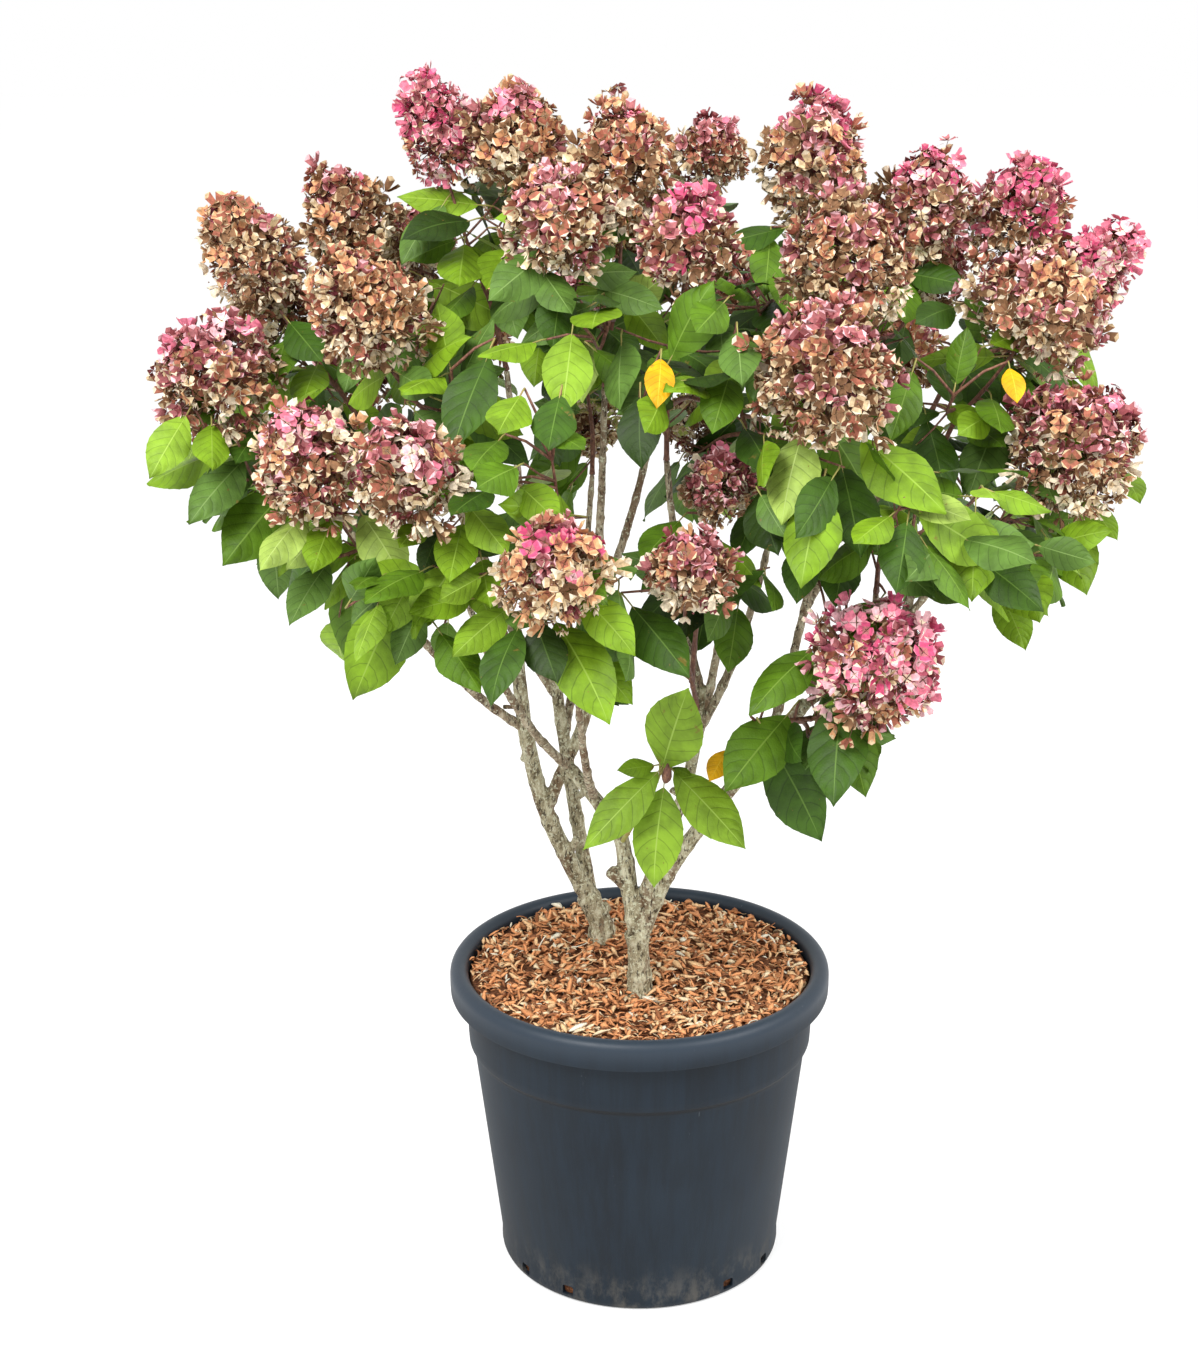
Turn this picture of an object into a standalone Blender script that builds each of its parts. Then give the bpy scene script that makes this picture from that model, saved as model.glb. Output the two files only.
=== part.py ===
"""A panicle hydrangea, grown as a many-stemmed shrub, in the nursery pot that it stands in."""
import math
import random

import bmesh
import bpy
from mathutils import Matrix, Vector
from mathutils.bvhtree import BVHTree
from mathutils.kdtree import KDTree

# Clearance that is kept between pieces that touch
GAP = 0.0003
# Points closer than this are one
WELD = 1e-6
UP = Vector((0, 0, 1))
# A direction that climbs more steeply than this counts as upright
STEEP = 0.9

# The pot: a blow-moulded shell with a rolled lip, and a band above a step
TURNS = 30
WALL = 0.003
POT_HEIGHT = 0.389
BASE_RADIUS = 0.173
FOOT_RADIUS = 0.1765
FOOT_HEIGHT = 0.012
STEP_HEIGHT = 0.286
UNDER_STEP_RADIUS = 0.2075
BAND_RADIUS = 0.213
BAND_TOP_RADIUS = 0.2155
STEP_RISE = 0.006
LIP_RADIUS = 0.235
LIP_DRAFT = 0.0005
LIP_BEND_HEIGHT = 0.377
LIP_EDGE_HEIGHT = 0.354
LIP_ARC_STEPS = 6
SLOT_SIZE = (0.016, 0.030, 0.014)
SLOT_HEIGHT = 0.014
SLOT_PAIR_MIDDLES = (-41.8, 50.2, 138.2, 228.2)
SLOT_PAIR_HALF_ANGLE = 11.8

# The root ball fills the pot up to its mulch
MULCH_TOP = 0.372

# Crown: the shoots spread as if from this point, and panicles turn up from that line
CROWN_HEART = Vector((0.0, 0.0, 0.62))
HEAD_LIFT = 0.35
TWIG_SIDES = 3
# A shoot's curve holds the line that it sets off and arrives along for this share of its length
SHOOT_PULL = 0.36
SHOOT_STEPS = 3
SHOOT_RADIUS = 0.0034
SHOOT_TIP_RADIUS = 0.0022
# A mass's second shoot leaves the first at this share of its length, and the third so much further up
FIRST_BRANCH = 0.31
BRANCH_STEP = 0.15
# A mass's space is told by samples of its shoots, from this share of their length on
SPACE_START = 0.1
SPACE_SAMPLES = 8
# Pairs of leaves stand so far apart on a shoot, from near its tip to this share of its length
NODE_SPACING = 0.041
TOP_PAIR = 0.97
LOWEST_PAIR = 0.17
FEWEST_PAIRS = 2
LEAF_LENGTH = 0.126
LEAF_SIZES = (0.84, 1.14)
LEAF_THICKNESS = 0.018
# A leaf's corners from tip to stalk, as shares of its length: how far along, how far out, and how far up
LEAF_CORNERS = (
    (1.0, 0.0, -0.13), (0.74, 0.22, -0.03), (0.40, 0.29, 0.0), (0.16, 0.018, 0.0), (0.0, 0.0, 0.0))
LEAF_MIDDLE = 0.45
LEAF_ARCH = 0.05
# A leaf sets off outwards and a little along its shoot, and droops
LEAF_SPREAD = 0.85
LEAF_LEAN = 0.35
LEAF_SWAY = 0.35
LEAF_DROOP = (0.40, 1.20)
# The young sprig low at the front ends in a rosette: a pair of leaves that hang to its sides, and so much
# further down the shoot a pair held flat above and below them
ROSETTE = "front_sprig_mass"
ROSETTE_DROOPS = (0.60, 0.20)
ROSETTE_STEP = 0.14
# No leaf closes the gap that shows sky through the middle of the crown: how wide it is, and how high over
# a plane that falls by this slope towards the back
WINDOW_X = (-0.058, 0.004)
WINDOW_Z = (0.935, 1.080)
WINDOW_FALL = 0.22
# The crown's lower edge as it shows from a point in front of it, drawn on the upright plane through the
# pot's middle: how far across and how high. No leaf hangs below it.
FRONT_POINT = Vector((0.0, -2.651, 1.623))
LOWER_EDGE = (
    (-0.60, 1.000), (-0.53, 0.938), (-0.45, 0.877), (-0.41, 0.813), (-0.35, 0.718), (-0.29, 0.768),
    (-0.24, 0.790), (-0.19, 0.712), (-0.14, 0.768), (-0.09, 0.740), (-0.03, 0.690), (0.01, 0.745),
    (0.06, 0.791), (0.11, 0.753), (0.15, 0.680), (0.23, 0.539), (0.28, 0.592), (0.31, 0.672),
    (0.36, 0.784), (0.41, 0.830), (0.47, 0.784), (0.51, 0.853), (0.56, 0.920), (0.60, 1.040))
# It turns its face up, and to the light at the front or the back
LEAF_LIFT = 0.8
LEAF_TO_LIGHT = 0.7
CROWN_BACK = 0.10
LEAF_ROLL = 0.5
# What a leaf tries in turn where it has no room: its size, and how far it swings round its shoot
LEAF_TRIES = ((1.0, 0.0), (0.9, 0.5), (0.8, -0.5), (0.7, 1.0))
# How much of a leaf or a twig is sunk in what it grows from, in radii of the shoot
LEAF_ROOT = 3.0
TWIG_ROOT = 2.4
# Side twigs: how many leaves give way to one, how long it is, and how its three leaves are set
TWIG_SHARE = 0.10
TWIG_LENGTH = 0.075
TWIG_SIZES = (0.7, 1.2)
TWIG_SPREAD = 0.8
TWIG_LEAN = 0.6
TWIG_SAG = 0.04
TWIG_TAPER = 0.7
TWIG_LEAF_TURNS = (-1.25, 0.0, 1.25)
TWIG_LEAF_DROOP = 0.45
TWIG_LEAF_NOD = 0.25
# The leaf at a twig's end starts so far back from it, and the pair so much further, in radii of the twig
TWIG_LEAF_SEAT = 1.5
TWIG_PAIR_SEAT = 3.0
PANICLE_SIDES = 7
PANICLE_RINGS = 5
PANICLE_TAPER = 0.16
PANICLE_LUMPS = 0.12
PANICLE_SEED = 100
LEAF_SEED = 300
# Fusing has failed where less than this share of the pieces' volume is left
FUSED_SHARE = 0.9
# A shoot runs into its panicle by this share of the panicle's length
PANICLE_HOLD = 0.35

# Trunks stand on the mulch: foot, fork, radius over the flare, radius at the fork
TRUNKS = {
    "front_trunk": ((0.000, -0.062, 0.0), (-0.003, -0.062, 0.452), 0.0150, 0.0130),
    "rear_trunk": ((-0.049, 0.092, 0.0), (-0.066, 0.088, 0.436), 0.0160, 0.0140),
}
TRUNK_SIDES = 8
FLARE = 0.35
FLARE_WAIST = 0.10
FLARE_HEIGHT = 0.022

LIMB_SIDES = 6

# Limbs: what each leaves and how far along it, the bends that show, the tip, and the radius at either end
LIMBS = {
    "front_left_limb": (
        "front_trunk", 0.97, [(-0.012, -0.060, 0.505), (-0.026, -0.050, 0.580)],
        (-0.088, -0.012, 0.650), 0.0115, 0.0080),
    "front_right_limb": (
        "front_trunk", 0.80, [(0.038, -0.080, 0.545), (0.112, -0.120, 0.668)],
        (0.186, -0.180, 0.785), 0.0105, 0.0080),
    "front_middle_limb": (
        "front_left_limb", 0.10, [(0.024, -0.080, 0.560), (0.058, -0.100, 0.670)],
        (0.070, -0.118, 0.785), 0.0085, 0.0070),
    "rear_left_limb": (
        "rear_trunk", 0.97, [(-0.117, 0.066, 0.560), (-0.142, 0.052, 0.684)],
        (-0.150, 0.050, 0.800), 0.0120, 0.0085),
    "rear_middle_limb": (
        "rear_trunk", 0.80, [(-0.083, 0.104, 0.560)],
        (-0.110, 0.116, 0.750), 0.0100, 0.0075),
    "rear_cross_limb": (
        "rear_left_limb", 0.36, [(-0.090, 0.062, 0.628), (-0.064, 0.068, 0.700)],
        (-0.052, 0.092, 0.860), 0.0085, 0.0065),
}

# Boughs: what each leaves and how far along it, and its tip
BOUGHS = {
    "left_bough": ("rear_left_limb", 0.66, (-0.335, -0.030, 0.945)),
    "left_low_bough": ("left_bough", 0.55, (-0.275, -0.135, 0.935)),
    "left_crest_bough": ("rear_left_limb", 0.98, (-0.248, 0.075, 1.070)),
    "left_high_bough": ("left_crest_bough", 0.35, (-0.330, 0.050, 1.060)),
    "left_inner_bough": ("rear_left_limb", 0.88, (-0.205, -0.065, 1.040)),
    "left_front_bough": ("front_left_limb", 0.98, (-0.195, -0.185, 0.920)),
    "front_low_bough": ("front_left_limb", 0.78, (-0.070, -0.250, 0.850)),
    "crest_left_bough": ("rear_middle_limb", 0.98, (-0.155, 0.040, 1.120)),
    "rear_left_bough": ("rear_middle_limb", 0.82, (-0.225, 0.195, 0.950)),
    "rear_bough": ("rear_middle_limb", 0.66, (-0.060, 0.235, 0.950)),
    "crest_bough": ("rear_cross_limb", 0.98, (-0.040, -0.010, 1.110)),
    "crest_rear_bough": ("rear_cross_limb", 0.84, (0.030, 0.125, 1.110)),
    "rear_right_bough": ("rear_cross_limb", 0.62, (0.125, 0.235, 0.950)),
    "centre_bough": ("front_middle_limb", 0.98, (0.030, -0.125, 1.050)),
    "right_front_bough": ("front_middle_limb", 0.80, (0.150, -0.150, 0.990)),
    "crest_right_bough": ("front_middle_limb", 0.62, (0.140, 0.050, 1.110)),
    "right_bough": ("front_right_limb", 0.98, (0.350, -0.140, 0.945)),
    "right_low_bough": ("right_bough", 0.40, (0.255, -0.235, 0.930)),
    "right_middle_bough": ("right_bough", 0.62, (0.340, -0.045, 1.030)),
    "right_inner_bough": ("front_right_limb", 0.80, (0.240, 0.060, 1.080)),
    "right_high_bough": ("right_inner_bough", 0.55, (0.345, 0.065, 1.065)),
    "right_rear_bough": ("right_inner_bough", 0.40, (0.275, 0.190, 0.960)),
}
BOUGH_RADIUS = 0.0062
BOUGH_TIP_RADIUS = 0.0040
BOUGH_POINTS = 5
BOUGH_SPREAD = 0.60
BOUGH_CLIMB = 0.34

# Masses of leaves: what carries each and how far along it, then the shoots it is made of. A shoot is given by
# the middle of its panicle, and the panicle's length and width. One with no panicle is given by its tip.
MASSES = {
    "left_tip_mass": ("left_bough", 1.00, [
        ((-0.476, -0.060, 1.135), 0.146, 0.140),
        ((-0.470, -0.100, 1.040), 0, 0),
        ((-0.470, 0.060, 1.010), 0, 0)]),
    "left_low_mass": ("left_low_bough", 1.00, [
        ((-0.352, -0.225, 1.072), 0.140, 0.126),
        ((-0.350, -0.180, 0.960), 0, 0)]),
    "left_crest_mass": ("left_crest_bough", 1.00, [
        ((-0.338, 0.070, 1.297), 0.128, 0.104),
        ((-0.256, 0.130, 1.262), 0.094, 0.082),
        ((-0.300, 0.230, 1.225), 0.120, 0.100)]),
    "left_high_mass": ("left_high_bough", 1.00, [
        ((-0.448, 0.030, 1.262), 0.158, 0.104),
        ((-0.445, 0.165, 1.175), 0.125, 0.105)]),
    "left_inner_mass": ("left_inner_bough", 1.00, [
        ((-0.294, -0.160, 1.228), 0.150, 0.118),
        ((-0.200, -0.200, 1.165), 0, 0)]),
    "left_front_mass": ("left_front_bough", 1.00, [
        ((-0.238, -0.310, 1.080), 0.126, 0.112),
        ((-0.275, -0.270, 0.940), 0, 0),
        ((-0.165, -0.290, 0.940), 0, 0)]),
    "front_low_mass": ("front_low_bough", 1.00, [
        ((-0.085, -0.395, 1.000), 0.124, 0.110),
        ((-0.060, -0.350, 0.900), 0, 0),
        ((-0.090, -0.300, 1.090), 0, 0)]),
    "crest_left_mass": ("crest_left_bough", 1.00, [
        ((-0.229, 0.020, 1.401), 0.140, 0.084),
        ((-0.145, 0.030, 1.387), 0.132, 0.112),
        ((-0.140, 0.180, 1.330), 0.125, 0.105)]),
    "rear_left_mass": ("rear_left_bough", 1.00, [
        ((-0.360, 0.290, 1.080), 0.130, 0.115),
        ((-0.225, 0.360, 1.110), 0.130, 0.110),
        ((-0.330, 0.260, 0.940), 0, 0)]),
    "rear_mass": ("rear_bough", 1.00, [
        ((-0.080, 0.400, 1.130), 0.135, 0.115),
        ((-0.065, 0.360, 0.985), 0.080, 0.078)]),
    "crest_mass": ("crest_bough", 1.00, [
        ((-0.022, -0.010, 1.361), 0.160, 0.120),
        ((-0.090, -0.130, 1.315), 0.118, 0.122),
        ((-0.050, -0.200, 1.200), 0, 0)]),
    "crest_rear_mass": ("crest_rear_bough", 1.00, [
        ((0.083, 0.150, 1.358), 0.095, 0.086),
        ((0.010, 0.300, 1.240), 0.125, 0.105)]),
    "rear_right_mass": ("rear_right_bough", 1.00, [
        ((0.130, 0.380, 1.150), 0.130, 0.112),
        ((0.063, 0.340, 0.998), 0.080, 0.076),
        ((0.220, 0.330, 0.980), 0, 0)]),
    "centre_mass": ("centre_bough", 1.00, [
        ((0.053, -0.200, 1.302), 0.124, 0.106),
        ((0.090, -0.250, 1.160), 0, 0),
        ((0.000, -0.260, 1.130), 0, 0)]),
    "front_middle_mass": ("front_middle_limb", 0.90, [
        ((0.052, -0.320, 0.978), 0.088, 0.094),
        ((0.086, -0.240, 1.050), 0.090, 0.074)]),
    "front_sprig_mass": ("front_left_limb", 0.50, [
        ((0.023, -0.222, 0.716), 0, 0)]),
    "right_front_mass": ("right_front_bough", 1.00, [
        ((0.189, -0.300, 1.184), 0.160, 0.150),
        ((0.222, -0.165, 1.276), 0.138, 0.134),
        ((0.175, -0.310, 1.030), 0, 0)]),
    "crest_right_mass": ("crest_right_bough", 1.00, [
        ((0.198, 0.020, 1.368), 0.144, 0.126),
        ((0.220, 0.180, 1.300), 0.125, 0.105),
        ((0.130, -0.070, 1.220), 0, 0)]),
    "right_tip_mass": ("right_bough", 1.00, [
        ((0.482, -0.120, 1.066), 0.165, 0.150),
        ((0.460, -0.180, 0.960), 0, 0),
        ((0.500, 0.000, 0.980), 0, 0)]),
    "right_low_mass": ("right_low_bough", 1.00, [
        ((0.270, -0.340, 1.060), 0, 0),
        ((0.360, -0.250, 1.040), 0, 0)]),
    "right_middle_mass": ("right_middle_bough", 1.00, [
        ((0.446, -0.075, 1.215), 0.125, 0.160),
        ((0.340, -0.160, 1.130), 0, 0)]),
    "right_sprig_mass": ("front_right_limb", 0.90, [
        ((0.252, -0.320, 0.876), 0.150, 0.136),
        ((0.190, -0.300, 0.790), 0, 0),
        ((0.120, -0.270, 0.800), 0, 0)]),
    "right_inner_mass": ("right_inner_bough", 1.00, [
        ((0.326, 0.055, 1.310), 0.146, 0.106),
        ((0.350, 0.190, 1.215), 0.120, 0.105)]),
    "right_high_mass": ("right_high_bough", 1.00, [
        ((0.442, 0.085, 1.294), 0.148, 0.118),
        ((0.521, 0.045, 1.240), 0.148, 0.092),
        ((0.500, 0.180, 1.150), 0.125, 0.110)]),
    "right_rear_mass": ("right_rear_bough", 1.00, [
        ((0.330, 0.330, 1.090), 0.130, 0.112),
        ((0.440, 0.230, 0.990), 0, 0)]),
}


def plain_material(name, colour, roughness):
    """A matt finish of one colour."""
    material = bpy.data.materials.new(name)
    material.use_nodes = True
    shader = material.node_tree.nodes["Principled BSDF"]
    shader.inputs["Base Color"].default_value = (*colour, 1)
    shader.inputs["Roughness"].default_value = roughness
    shader.inputs["Metallic"].default_value = 0
    material.diffuse_color = (*colour, 1)
    return material


def add_object(name, mesh, collection):
    piece = bpy.data.objects.new(name, mesh)
    collection.objects.link(piece)
    return piece


def mesh_from(bm, name):
    mesh = bpy.data.meshes.new(name)
    bm.to_mesh(mesh)
    bm.free()
    return mesh


def baked(piece):
    """The piece's mesh in world space with its modifiers applied, and the piece itself removed."""
    bpy.context.view_layer.update()
    graph = bpy.context.evaluated_depsgraph_get()
    mesh = bpy.data.meshes.new_from_object(piece.evaluated_get(graph))
    mesh.transform(piece.matrix_world)
    bpy.data.objects.remove(piece)
    return mesh


def main_body(mesh):
    """Drops the loose scraps and sealed hollows that joining or cutting left."""
    bm = bmesh.new()
    bm.from_mesh(mesh)
    bmesh.ops.remove_doubles(bm, verts=bm.verts, dist=WELD)
    bmesh.ops.triangulate(bm, faces=bm.faces)
    unseen = set(bm.faces)
    bodies = []
    while unseen:
        body = [unseen.pop()]
        for face in body:
            for edge in face.edges:
                for other in edge.link_faces:
                    if other in unseen:
                        unseen.discard(other)
                        body.append(other)
        bodies.append(body)
    bodies.sort(key=body_volume)
    spare = [face for body in bodies[:-1] for face in body]
    bmesh.ops.delete(bm, geom=spare, context="FACES")
    bm.to_mesh(mesh)
    bm.free()
    return mesh


def body_volume(faces):
    """The signed volume that a set of triangles closes in."""
    volume = 0.0
    for face in faces:
        a, b, c = (vert.co for vert in face.verts)
        volume += a.dot(b.cross(c)) / 6
    return volume


def screw_profile(name, profile, collection):
    """A turned piece: the profile of radius and height pairs, swept once round the pot's axis."""
    mesh = bpy.data.meshes.new(name)
    points = [(radius, 0, height) for radius, height in profile]
    edges = [(i, i + 1) for i in range(len(points) - 1)]
    mesh.from_pydata(points, edges, [])
    piece = add_object(name, mesh, collection)
    screw = piece.modifiers.new("turned", "SCREW")
    screw.steps = TURNS
    screw.render_steps = TURNS
    screw.use_merge_vertices = True
    screw.merge_threshold = 0.00005
    return piece


def inner_wall(inset):
    """The inside of the pot from its floor up to its lip, set in from the outside by the inset."""
    return [
        (BASE_RADIUS - inset, inset),
        (UNDER_STEP_RADIUS - inset, STEP_HEIGHT),
        (BAND_TOP_RADIUS - inset, LIP_BEND_HEIGHT - WALL),
    ]


def lip_arc(inset):
    """The lip's bend, from the inside of the pot over its crest to the outside."""
    inner = BAND_TOP_RADIUS - WALL
    middle = (inner + LIP_RADIUS) / 2
    half_width = (LIP_RADIUS - inner) / 2 - inset
    rise = POT_HEIGHT - LIP_BEND_HEIGHT - inset
    arc = []
    for step in range(LIP_ARC_STEPS + 1):
        angle = math.pi * (1 - step / LIP_ARC_STEPS)
        arc.append((middle + half_width * math.cos(angle), LIP_BEND_HEIGHT + rise * math.sin(angle)))
    return arc


def make_pot(parts, cutters):
    inside = [(0, WALL), *inner_wall(WALL)]
    skirt = [(LIP_RADIUS - LIP_DRAFT, LIP_EDGE_HEIGHT), (LIP_RADIUS - WALL, LIP_EDGE_HEIGHT)]
    under_lip = lip_arc(WALL)[::-2]
    step = [(BAND_RADIUS, STEP_HEIGHT + STEP_RISE), (UNDER_STEP_RADIUS, STEP_HEIGHT)]
    foot = [(FOOT_RADIUS, FOOT_HEIGHT), (BASE_RADIUS, 0), (0, 0)]
    pot = screw_profile("pot", inside + lip_arc(0) + skirt + under_lip + step + foot, parts)
    for middle in SLOT_PAIR_MIDDLES:
        for side in (-1, 1):
            angle = math.radians(middle + side * SLOT_PAIR_HALF_ANGLE)
            bpy.ops.mesh.primitive_cube_add(size=1)
            slot = bpy.context.object
            slot.name = "drain_slot_cutter"
            slot.scale = SLOT_SIZE
            slot.location = (FOOT_RADIUS * math.sin(angle), -FOOT_RADIUS * math.cos(angle), SLOT_HEIGHT)
            slot.rotation_euler.z = angle
            slot.hide_render = True
            slot.display_type = "WIRE"
            for collection in slot.users_collection:
                collection.objects.unlink(slot)
            cutters.objects.link(slot)
    slots = pot.modifiers.new("drain slots", "BOOLEAN")
    slots.operation = "DIFFERENCE"
    slots.operand_type = "COLLECTION"
    slots.collection = cutters
    return pot


def make_root_ball(parts):
    floor, step, top = inner_wall(WALL + GAP)
    profile = [(0, MULCH_TOP), (top[0] - GAP, MULCH_TOP), step, floor, (0, floor[1])]
    return screw_profile("root_ball", profile, parts)


def smooth_path(points, steps):
    """A curve through the points, with each stretch between two of them cut into steps."""
    points = [Vector(point) for point in points]
    ends = [2 * points[0] - points[1], *points, 2 * points[-1] - points[-2]]
    path = []
    for before, start, end, after in zip(ends, ends[1:], ends[2:], ends[3:]):
        for step in range(steps):
            t = step / steps
            path.append(0.5 * (
                2 * start + (end - before) * t
                + (2 * before - 5 * start + 4 * end - after) * t ** 2
                + (3 * start - before - 3 * end + after) * t ** 3))
    path.append(points[-1])
    return path


def bent_path(start, lean, aim, end, steps):
    """A curve that sets off along lean and arrives along aim."""
    pull = (end - start).length * SHOOT_PULL
    knees = (start, start + lean * pull, end - aim * pull, end)
    path = []
    for step in range(steps + 1):
        t = step / steps
        shares = ((1 - t) ** 3, 3 * t * (1 - t) ** 2, 3 * t ** 2 * (1 - t), t ** 3)
        path.append(sum((share * knee for share, knee in zip(shares, knees)), Vector()))
    return path


def along(path, share):
    """The point at a share of the path's length, and the path's direction there."""
    lengths = [(b - a).length for a, b in zip(path, path[1:])]
    left = share * sum(lengths)
    for a, b, length in zip(path, path[1:], lengths):
        if left <= length:
            return a.lerp(b, left / length), (b - a).normalized()
        left -= length
    return path[-1].copy(), (path[-1] - path[-2]).normalized()


def tapered(start, end, count):
    return [start + (end - start) * step / (count - 1) for step in range(count)]


def round_limb(name, path, radii, sides):
    """A closed tapering tube along the path."""
    curve = bpy.data.curves.new(name, "CURVE")
    curve.dimensions = "3D"
    curve.bevel_depth = 1
    curve.bevel_resolution = (sides - 4) // 2
    curve.use_fill_caps = True
    spline = curve.splines.new("POLY")
    spline.points.add(len(path) - 1)
    for point, place, radius in zip(spline.points, path, radii):
        point.co = (*place, 1)
        point.radius = radius
    limb = add_object(name, curve, bpy.context.scene.collection)
    return welded(baked(limb), curve)


def three_sided_twig(path, radii):
    """A slim three-sided tube, as a curve swept with a triangle."""
    section = bpy.data.curves.new("twig_section", "CURVE")
    section.dimensions = "2D"
    outline = section.splines.new("POLY")
    outline.points.add(TWIG_SIDES - 1)
    for corner, point in enumerate(outline.points):
        angle = 2 * math.pi * corner / TWIG_SIDES
        point.co = (math.cos(angle), math.sin(angle), 0, 1)
    outline.use_cyclic_u = True
    sweep = add_object("twig_section", section, bpy.context.scene.collection)
    curve = bpy.data.curves.new("twig", "CURVE")
    curve.dimensions = "3D"
    curve.bevel_mode = "OBJECT"
    curve.bevel_object = sweep
    curve.use_fill_caps = True
    spline = curve.splines.new("POLY")
    spline.points.add(len(path) - 1)
    for point, place, radius in zip(spline.points, path, radii):
        point.co = (*place, 1)
        point.radius = radius
    twig = add_object("twig", curve, bpy.context.scene.collection)
    mesh = welded(baked(twig), curve)
    bpy.data.objects.remove(sweep)
    bpy.data.curves.remove(section)
    return mesh


def welded(mesh, curve):
    """Joins a swept curve's caps to its side, with all its faces turned outwards."""
    bpy.data.curves.remove(curve)
    bm = bmesh.new()
    bm.from_mesh(mesh)
    bmesh.ops.remove_doubles(bm, verts=bm.verts, dist=WELD)
    bmesh.ops.triangulate(bm, faces=bm.faces)
    bmesh.ops.recalc_face_normals(bm, faces=bm.faces)
    bm.to_mesh(mesh)
    bm.free()
    return mesh


def tree_of(mesh):
    return BVHTree.FromPolygons(
        [vert.co.copy() for vert in mesh.vertices], [tuple(polygon.vertices) for polygon in mesh.polygons])


def cut_clear(mesh, sleeves):
    """Cuts away what lies inside the sleeves of the limbs that this one leaves or passes."""
    for sleeve in sleeves:
        if not tree_of(mesh).overlap(tree_of(sleeve)):
            continue
        piece = add_object("limb", mesh, bpy.context.scene.collection)
        cutter = add_object("sleeve", sleeve, bpy.context.scene.collection)
        cut = piece.modifiers.new("clear", "BOOLEAN")
        cut.operation = "DIFFERENCE"
        cut.object = cutter
        mesh = main_body(baked(piece))
        bpy.data.objects.remove(cutter)
    return mesh


def limb_sleeve(path, radii, sides):
    """The space that a limb takes, with the clearance round it."""
    end = path[-1] + (path[-1] - path[-2]).normalized() * GAP
    return round_limb("sleeve", [*path[:-1], end], [radius + GAP for radius in radii], sides)


def make_limbs(parts):
    """Trunks, limbs and boughs, each cut clear of those before it. Gives their paths and sleeves."""
    paths = {}
    sleeves = {}

    def place_limb(name, path, radii, sides):
        mesh = cut_clear(round_limb(name, path, radii, sides), sleeves.values())
        add_object(name, mesh, parts)
        paths[name] = path
        sleeves[name] = limb_sleeve(path, radii, sides)

    for name, (foot, fork, radius, fork_radius) in TRUNKS.items():
        ground = Vector((foot[0], foot[1], MULCH_TOP + GAP))
        path = [ground, ground + UP * FLARE_HEIGHT * 0.5, ground + UP * FLARE_HEIGHT]
        path += [path[-1].lerp(Vector(fork), 0.5), Vector(fork)]
        radii = [radius * (1 + FLARE), radius * (1 + FLARE_WAIST), *tapered(radius, fork_radius, 3)]
        place_limb(name, path, radii, TRUNK_SIDES)
    for name, (parent, share, bends, tip, radius, tip_radius) in LIMBS.items():
        start, _ = along(paths[parent], share)
        path = smooth_path([start, *bends, tip], 2)
        place_limb(name, path, tapered(radius, tip_radius, len(path)), LIMB_SIDES)
    for name, (parent, share, tip) in BOUGHS.items():
        start, _ = along(paths[parent], share)
        reach = Vector(tip) - start
        knee = start + Vector((reach.x * BOUGH_SPREAD, reach.y * BOUGH_SPREAD, reach.z * BOUGH_CLIMB))
        path = [start.lerp(knee, t).lerp(knee.lerp(Vector(tip), t), t) for t in tapered(0, 1, BOUGH_POINTS)]
        place_limb(name, path, tapered(BOUGH_RADIUS, BOUGH_TIP_RADIUS, len(path)), LIMB_SIDES)
    return paths, sleeves


def side_frame(direction):
    """Two directions square to the given one and to each other."""
    first = direction.cross(UP if abs(direction.z) < STEEP else Vector((1, 0, 0))).normalized()
    return first, direction.cross(first).normalized()


def head_direction(place):
    """Panicles and shoot tips lean out from the heart of the crown, and turn up a little."""
    return ((place - CROWN_HEART).normalized() + UP * HEAD_LIFT).normalized()


def make_leaf(root, direction, face, length):
    """A domed, pointed leaf on its stalk: a flattened eight-sided bead, drawn out to the leaf's outline."""
    side = direction.cross(face).normalized()
    bm = bmesh.new()
    bmesh.ops.create_uvsphere(bm, u_segments=8, v_segments=2, radius=1)
    for vert in bm.verts:
        if abs(vert.co.z) > 0.5:
            reach, width, rise = LEAF_MIDDLE, 0, LEAF_ARCH + math.copysign(LEAF_THICKNESS / 2, vert.co.z)
        else:
            corner = round(math.atan2(vert.co.y, vert.co.x) * 4 / math.pi)
            reach, width, rise = LEAF_CORNERS[abs(corner)]
            width = math.copysign(width, corner)
        vert.co = root + (direction * reach + side * width + face * rise) * length
    bmesh.ops.triangulate(bm, faces=bm.faces)
    if body_volume(bm.faces) < 0:
        bmesh.ops.reverse_faces(bm, faces=bm.faces)
    return mesh_from(bm, "leaf")


def make_panicle(middle, direction, length, width, dice):
    """A blunt cone of florets, as one lumpy solid on the end of its shoot."""
    first, second = side_frame(direction)
    bm = bmesh.new()
    bmesh.ops.create_uvsphere(bm, u_segments=PANICLE_SIDES, v_segments=PANICLE_RINGS, radius=1)
    for vert in bm.verts:
        x, y, z = vert.co
        lump = 1 + dice.uniform(-PANICLE_LUMPS, PANICLE_LUMPS)
        out = width / 2 * lump * (1 - PANICLE_TAPER * z)
        vert.co = middle + direction * z * length / 2 + (first * x + second * y) * out
    bmesh.ops.triangulate(bm, faces=bm.faces)
    if body_volume(bm.faces) < 0:
        bmesh.ops.reverse_faces(bm, faces=bm.faces)
    return mesh_from(bm, "panicle")


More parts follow.
